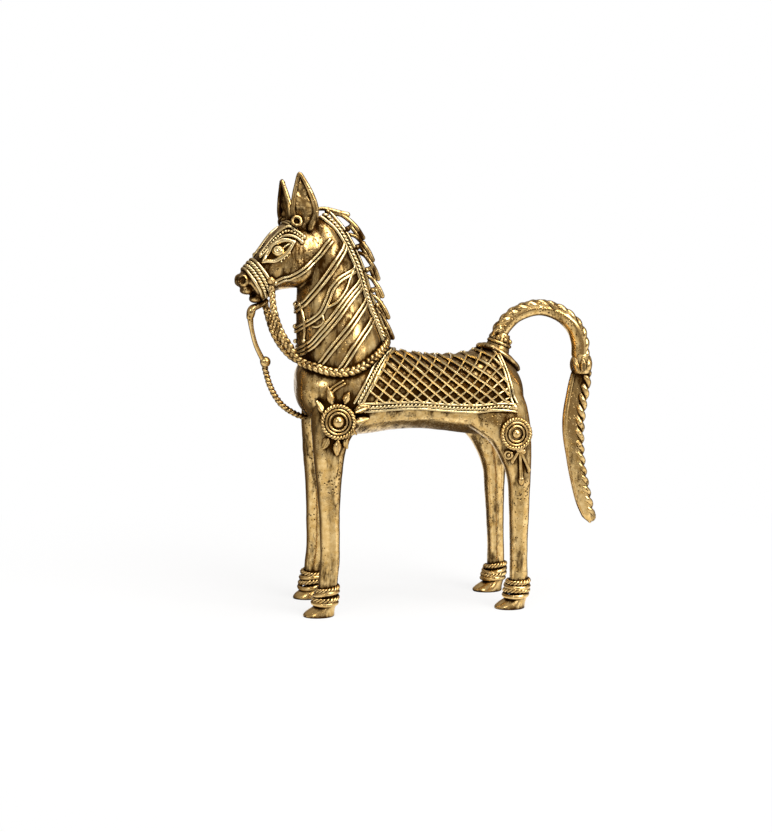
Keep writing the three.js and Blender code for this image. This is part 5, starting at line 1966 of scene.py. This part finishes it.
    def build(self, foundry: Foundry) -> None:
        """Makes the rosettes and tassels."""
        for side in Side:
            name = f"shoulder_rosette_{side.label}"
            foundry.lay(f"coiled_{name}", [name], self.shoulder_forms(side), WOUND_BRASS)
            name = f"haunch_rosette_{side.label}"
            foundry.lay(f"coiled_{name}", [name], self.haunch_forms(side), WOUND_BRASS)
            name = f"haunch_tassel_{side.label}"
            foundry.lay(f"laid_{name}", [name], self.tassel(side), WOUND_BRASS)


@dataclass
class Feet:
    """The hooves and the wound anklets above them."""

    trunk: Trunk
    hoof_height: float = 5.0
    hoof_length: float = 13.0
    hoof_width: float = 9.8
    hoof_lead: float = 3.8
    anklet_low: float = 5.7
    anklet_pitch: float = 1.9
    anklet_rings: int = 4
    anklet_radius: float = 4.3
    anklet_wire: float = 1.05
    anklet_lead: float = 0.9
    anklet_turns: float = 6.0

    def hoof(self, foot: Vector, lead_by: float) -> BMesh:
        """A hoof that flares forward to a flat sole.

        Args:
            foot: The middle of the leg above it.
            lead_by: How far its sole lies ahead of the leg.

        Returns:
            Its body.
        """
        flare = line((0.0, 0.97), (0.08, 1.0), (0.2, 0.99), (0.45, 0.9), (0.75, 0.74), (1.0, 0.62))
        lead = line((0.0, 1.0), (0.2, 0.98), (0.45, 0.8), (0.75, 0.42), (1.0, 0.12))
        ovals = []
        for t in evenly(18):
            centre = vec(foot.x - lead_by * lead(t), foot.y, self.hoof_height * t)
            across = vec(0.0, 0.5 * self.hoof_width * lerp(1.0, flare(t), 0.65), 0.0)
            up = vec(-0.5 * self.hoof_length * flare(t), 0.0, 0.0)
            ovals.append(Oval(centre, across, up))
        form = skin(ovals, 44)
        for vert in form.verts:
            if vert.co.z > 0.3:
                vert.co += vec(1.0, 0.4, 0.3) * (noise.noise(vert.co * 0.4) * 0.16)
        return form

    def anklet(self, foot: Vector, seed: float) -> list[BMesh]:
        """A stack of rings, every second one twisted.

        Args:
            foot: The middle of the leg.
            seed: A number that sets how the rings tilt.

        Returns:
            Their bodies.
        """
        forms = []
        for row in range(self.anklet_rings):
            share = row / (self.anklet_rings - 1)
            roll = Matrix.Rotation(0.12 * math.sin(seed + 2.1 * row), 4, "X")
            tilt = roll @ Matrix.Rotation(0.1 * math.cos(1.7 * seed + row) - 0.08, 4, "Y")
            x = foot.x - lerp(1.4, 0.3, share) * self.anklet_lead
            middle = vec(x, foot.y, self.anklet_low + self.anklet_pitch * row)
            place = Matrix.Translation(middle) @ tilt
            radius = self.anklet_radius + 0.55 * math.sin(math.pi * lerp(0.35, 0.95, share))
            if row % 2 == 0:
                forms.append(hoop(place, radius, self.anklet_wire, 40, 9))
            else:
                path = around(place, radius, 0.0)
                up = [tilt.to_3x3() @ vec(0.0, 0.0, 1.0)] * len(path)
                pitch = TURN * radius / self.anklet_turns
                forms.extend(twisted(path, self.anklet_wire * 1.05, pitch, 3, 7, up))
        return forms

    def build(self, foundry: Foundry) -> None:
        """Makes the hooves and anklets."""
        seed = 0.3
        for end in End:
            for side in Side:
                foot = self.trunk.foot(end, side)
                name = f"{end.value}_hoof_{side.label}"
                drawn_in = 1.4 if end is End.FORE and side is Side.RIGHT else 0.0
                form = self.hoof(foot, self.hoof_lead - drawn_in)
                foundry.dress(f"flared_{name}", [name], form, WOUND_BRASS)
                name = f"{end.value}_anklet_{side.label}"
                foundry.lay(f"wound_{name}", [name], self.anklet(foot, seed), WOUND_BRASS)
                seed += 1.3


@dataclass
class Tail:
    """The tail's root, plaited arch, cuff and hanging switch."""

    surface: CastSurface
    arch: tuple[Pair, ...] = (
        (37.4, 110.2), (38.1, 113.5), (40.7, 118.0), (46.3, 122.8), (56.0, 125.4),
        (65.4, 122.8), (72.0, 117.1), (74.6, 110.4), (74.9, 104.8),
    )
    cuff_x: float = 74.9
    cuff_low: float = 96.9
    switch_tip: float = 32.4
    lock_period: float = 9.6

    def root(self) -> list[BMesh]:
        """A sheath with a ring and a row of beads at the tail's foot, and two threads round it on the back.

        Returns:
            Their bodies.
        """
        lean = vec(0.36, 0.0, 0.93).normalized()
        foot = vec(37.7, 0.0, 107.6)
        aside = vec(0.0, 1.0, 0.0)
        steps = ((-3.0, 6.2), (0.0, 5.5), (2.0, 4.9), (4.2, 4.3), (5.6, 3.8), (7.2, 3.2))
        sheath = [
            Oval(foot + lean * reach, aside * radius, lean.cross(aside * radius) * -1.0)
            for reach, radius in steps
        ]
        forms = [skin(sheath, 36), hoop(facing(foot + lean * 2.8, lean, aside), 4.6, 0.85, 44, 8)]
        place = facing(foot + lean * 4.6, lean, aside)
        for i in range(8):
            angle = TURN * (i + 0.3) / 8.0
            size = 1.25 + 0.2 * math.sin(2.7 * i)
            forms.append(bead(place @ vec(4.0 * math.cos(angle), 4.0 * math.sin(angle), 0.0), size))
        half = points(
            (30.5, -0.5, 110.0), (34.2, -4.4, 109.4), (38.0, -6.2, 108.2),
            (41.6, -6.2, 106.4), (44.4, -4.6, 104.2), (46.3, -2.0, 101.8),
        )
        route = [*half, vec(47.0, 0.0, 100.2), *reversed(mirrored(half))]
        path, outs = self.surface.run(route, 0.6, 1.1)
        for gap in (-1.0, 1.0):
            forms.append(thread(beside_path(path, outs, gap), 0.92, 8, 1.3, outs))
        return forms

    def arch_forms(self) -> list[BMesh]:
        """A smooth core with a plait along its outer side.

        Returns:
            Their bodies.
        """
        path = smooth_path([vec(x, 0.0, z) for x, z in self.arch], 0.5)
        outs = [vec(-way.z, 0.0, way.x) for way in ways(path)]
        core = [spot - out * 0.75 for spot, out in zip(path, outs)]
        crown = [spot + out * 1.15 for spot, out in zip(path, outs)]
        forms = [thread(core, line((0.0, 3.2), (0.3, 3.0), (0.55, 3.0), (0.8, 3.5), (1.0, 3.6)), 24)]
        forms.extend(plaited(crown, outs, 1.6, 1.1, 0.32, 14.0, 9))
        return forms

    def cuff(self) -> list[BMesh]:
        """The swollen binding where the arch ends.

        Returns:
            Its bodies.
        """
        profile = (
            (106.2, 3.0), (104.8, 3.5), (102.6, 3.7), (100.0, 3.9), (98.2, 4.0), (97.0, 3.7), (96.8, 3.2)
        )
        ovals = [
            Oval(vec(self.cuff_x, 0.0, z), vec(radius, 0.0, 0.0), vec(0.0, radius, 0.0))
            for z, radius in profile
        ]
        forms = [skin(ovals, 36)]
        for i in range(7):
            angle = TURN * (i + 0.15) / 7.0
            out = vec(math.cos(angle), math.sin(angle), 0.0)
            turn = facing(Vector(), out).to_3x3().to_4x4() @ Matrix.Rotation(0.4 * math.sin(1.9 * i), 4, "Z")
            size = vec(1.7 + 0.35 * math.sin(2.3 * i), 3.3 + 0.7 * math.cos(1.7 * i), 1.45)
            forms.append(bead(vec(self.cuff_x, 0.0, 100.6) + out * 3.45, size, turn, 3))
        return forms

    def switch(self) -> list[BMesh]:
        """The hanging hair: a smooth blade in front, with a twisted lock down its back.

        Returns:
            Its bodies.
        """
        front = line(
            (32.0, 77.6), (39.6, 73.9), (46.4, 71.8), (59.8, 68.9), (76.4, 67.1), (92.8, 69.5), (97.0, 70.6)
        )
        parting = line(
            (32.0, 78.8), (39.6, 76.6), (53.0, 73.8), (66.4, 72.3), (79.6, 72.8), (92.7, 74.9), (97.0, 75.3)
        )
        rear = line(
            (32.0, 82.4), (42.9, 80.3), (56.3, 77.3), (66.3, 76.2), (79.5, 76.7), (92.7, 78.8), (97.0, 79.0)
        )
        depth = line((32.0, 1.6), (36.0, 2.1), (60.0, 2.0), (75.0, 1.4), (84.0, 0.9), (97.0, 0.8))
        ovals, lock, rim = [], [], []
        for share in evenly(60):
            z = lerp(self.cuff_low, self.switch_tip, share)
            close = min(1.0, (z - self.switch_tip) / 2.4 + 0.12) ** 0.5
            middle = (front(z) + rear(z) - 0.6) / 2.0
            reach = (rear(z) - 0.6 - front(z)) / 2.0 * close
            across = vec(0.0, -depth(z) * close, 0.0)
            ovals.append(Oval(vec(middle, 0.0, z), across, vec(-reach, 0.0, 0.0)))
            lock.append(vec((parting(z) + rear(z)) / 2.0, 0.0, z))
            rim.append(vec(middle - reach + 1.0, 0.0, z))
        thickness = line((0.0, 1.2), (0.4, 1.3), (0.6, 0.9), (1.0, 0.7))
        forms = [skin(ovals, 32), thread(smooth_path(rim[::4], 0.8), thickness, 10)]
        forms.extend(twisted(smooth_path(lock[:-2:3], 0.5), 2.5, self.lock_period, 2, 10))
        tip = vec(80.3, 0.0, self.switch_tip + 2.5)
        forms.append(bead(tip, vec(2.1, 2.0, 2.6), Matrix.Rotation(-0.25, 4, "Y"), 3))
        return forms

    def build(self, foundry: Foundry) -> None:
        """Makes the tail's pieces."""
        foundry.lay("wound_tail_root", ["tail_root"], self.root(), BODY_BRASS)
        foundry.lay("plaited_tail_arch", ["tail_arch"], self.arch_forms(), BODY_BRASS)
        foundry.lay("bound_tail_cuff", ["tail_cuff"], self.cuff(), BODY_BRASS)
        foundry.lay("twisted_tail_switch", ["tail_switch"], self.switch(), BODY_BRASS)


# Studio


@dataclass
class Studio:
    """The floor, the soft light and the camera. Lengths are in metres."""

    frame: GaugeFrame
    azimuth: float = -10.23
    elevation: float = 6.7
    distance: float = 0.65
    target: Triple = (-9.84, 0.0, 80.2)
    lens: float = 67.11
    floor_size: float = 1.5
    near_glow: float = 0.82
    room_dark: float = 0.04
    room_light: float = 0.4
    room_shade: Triple = (1.0, 0.72, 0.42)
    panels: tuple[tuple[float, ...], ...] = (
        (0.0, -1.0, 0.3, 0.95, 0.14), (0.97, -0.24, 0.78, 0.95, 0.55), (-0.86, -0.51, 0.74, 0.95, 0.3),
        (0.0, 1.0, 0.97, 0.995, 1.0),
    )
    paper_glow: float = 0.56
    lit_height: float = 0.09

    def camera(self) -> None:
        """Sets the camera at the photograph's viewpoint."""
        a, e = math.radians(self.azimuth), math.radians(self.elevation)
        back = vec(math.sin(a) * math.cos(e), -math.cos(a) * math.cos(e), math.sin(e))
        data = bpy.data.cameras.new("camera")
        data.lens = self.lens
        data.sensor_width = 36.0
        data.clip_start = 0.01
        data.clip_end = 50.0
        camera = bpy.data.objects.new("camera", data)
        camera.rotation_mode = "QUATERNION"
        camera.location = self.frame.point(*self.target) + back * self.distance
        camera.rotation_quaternion = (-back).to_track_quat("-Z", "Y")
        bpy.context.scene.collection.objects.link(camera)
        bpy.context.scene.camera = camera

    def floor(self) -> None:
        """Lays a pale floor that shows white and keeps the shadow."""
        form = bmesh.new()
        bmesh.ops.create_grid(form, x_segments=1, y_segments=1, size=self.floor_size / 2.0)
        mesh = bpy.data.meshes.new("floor")
        form.to_mesh(mesh)
        form.free()
        floor = bpy.data.objects.new("floor", mesh)
        bpy.context.scene.collection.objects.link(floor)
        made = bpy.data.materials.new("pale_floor")
        made.use_nodes = True
        tree = NodeBench(made.node_tree)
        tree.nodes.clear()
        paper = tree.add("ShaderNodeBsdfDiffuse")
        paper.inputs["Color"].default_value = (0.86, 0.86, 0.86, 1.0)
        glow = tree.add("ShaderNodeEmission")
        rays = tree.add("ShaderNodeLightPath")
        either = (rays.outputs["Is Glossy Ray"], rays.outputs["Is Transmission Ray"])
        mirrored_ray = tree.math("MAXIMUM", *either)
        spot = tree.add("ShaderNodeTexCoord").outputs["Object"]
        way_off = tree.vector("LENGTH", spot)
        way = tree.vector("NORMALIZE", spot)
        share = tree.span(way_off, 0.09, 0.3, self.near_glow, 1.0, smooth=True)
        near = tree.span(way_off, 0.4, 0.74, self.paper_glow, 0.0, smooth=True)
        in_front = tree.span(tree.axes(way)["Y"], -0.1, 0.6, 1.0, 0.0, smooth=True)
        near = tree.math("MULTIPLY", near, in_front)
        dimmed = tree.math("SUBTRACT", 1.0, tree.math("ADD", self.room(tree, way), near))
        strength = tree.math("SUBTRACT", 1.0, tree.math("MULTIPLY", mirrored_ray, dimmed))
        tree.link(strength, glow.inputs["Strength"])
        tree.link(self.tint(tree, strength), glow.inputs["Color"])
        blend = tree.add("ShaderNodeMixShader")
        seen = tree.math("MULTIPLY", rays.outputs["Is Camera Ray"], share)
        tree.link(tree.math("MAXIMUM", seen, mirrored_ray), blend.inputs[0])
        tree.link(paper.outputs[0], blend.inputs[1])
        tree.link(glow.outputs[0], blend.inputs[2])
        output = tree.add("ShaderNodeOutputMaterial")
        tree.link(blend.outputs[0], output.inputs["Surface"])
        mesh.materials.append(made)

    def room(self, tree: NodeBench, way: Socket) -> Socket:
        """How bright the room is along a way.

        Args:
            tree: The bench of the material or world.
            way: A socket with the way, of length one.

        Returns:
            A socket with the brightness: a little above, and the pale panels in front, beside and behind.
        """
        axes = tree.axes(way)
        total = tree.span(axes["Z"], -0.3, 0.9, self.room_dark, self.room_light, smooth=True)
        for x, y, edge, full, level in self.panels:
            across, along = tree.math("MULTIPLY", axes["X"], x), tree.math("MULTIPLY", axes["Y"], y)
            glow = tree.span(tree.math("ADD", across, along), edge, full, 0.0, level, smooth=True)
            total = tree.math("ADD", total, glow)
        return tree.math("MINIMUM", total, 1.0)

    def tint(self, tree: NodeBench, level: Socket) -> Socket:
        """The room's colour at a brightness: warm in its shade and white in its light."""
        return tree.mix(tree.span(level, 0.05, 0.5, 0.0, 1.0), self.room_shade, (1.0, 1.0, 1.0))

    def world(self) -> None:
        """Sets a dark room with pale panels, which shows white to the camera."""
        world = bpy.data.worlds.new("studio")
        world.use_nodes = True
        tree = NodeBench(world.node_tree)
        tree.nodes.clear()
        way = tree.add("ShaderNodeTexCoord").outputs["Generated"]
        rays = tree.add("ShaderNodeLightPath")
        shown = tree.math("MAXIMUM", self.room(tree, way), rays.outputs["Is Camera Ray"])
        sky = tree.add("ShaderNodeBackground")
        tree.link(self.tint(tree, shown), sky.inputs["Color"])
        tree.link(shown, sky.inputs["Strength"])
        output = tree.add("ShaderNodeOutputWorld")
        tree.link(sky.outputs[0], output.inputs["Surface"])
        bpy.context.scene.world = world

    def softbox(self, name: str, place: Vector, size: float, power: float) -> None:
        """A square soft light that looks at the figure.

        Args:
            name: The light's name.
            place: Where it hangs.
            size: Its side.
            power: Its power in watts.
        """
        data = bpy.data.lights.new(name, "AREA")
        data.size = size
        data.energy = power
        light = bpy.data.objects.new(name, data)
        light.location = place
        light.rotation_mode = "QUATERNION"
        toward = vec(0.0, 0.0, self.lit_height) - place
        light.rotation_quaternion = toward.to_track_quat("-Z", "Y")
        bpy.context.scene.collection.objects.link(light)

    def build(self) -> None:
        """Sets up the whole studio."""
        bpy.context.scene.view_settings.view_transform = "Standard"
        self.camera()
        self.floor()
        self.world()
        self.softbox("key", vec(1.05, -1.45, 1.3), size=1.35, power=36.0)
        self.softbox("side", vec(-1.0, -1.7, 1.0), size=0.5, power=4.0)
        self.softbox("top", vec(0.3, -0.4, 2.0), size=1.3, power=24.0)


def main() -> None:
    """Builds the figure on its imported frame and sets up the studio."""
    logging.basicConfig(level=logging.INFO, format="%(name)s: %(message)s")
    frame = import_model()
    gauge = GaugeFrame()
    Studio(gauge).build()
    foundry = Foundry(gauge)
    trunk = Trunk()
    whole = trunk.cast()
    surface = CastSurface(whole)
    trunk.part(whole, foundry)
    head = HeadWork(trunk, surface)
    head.build(foundry)
    Bridle(head, surface).build(foundry)
    NeckWork(trunk, surface).build(foundry)
    Saddle(trunk, surface).build(foundry)
    Rosettes(surface).build(foundry)
    Feet(trunk).build(foundry)
    Tail(surface).build(foundry)
    whole.free()
    core = frame["nodes"]["clay_core"]
    core.data.materials.clear()
    core.data.materials.append(fired_clay())
    log.info("clay_core keeps its solid, in fired clay")


if __name__ == "__main__":
    main()
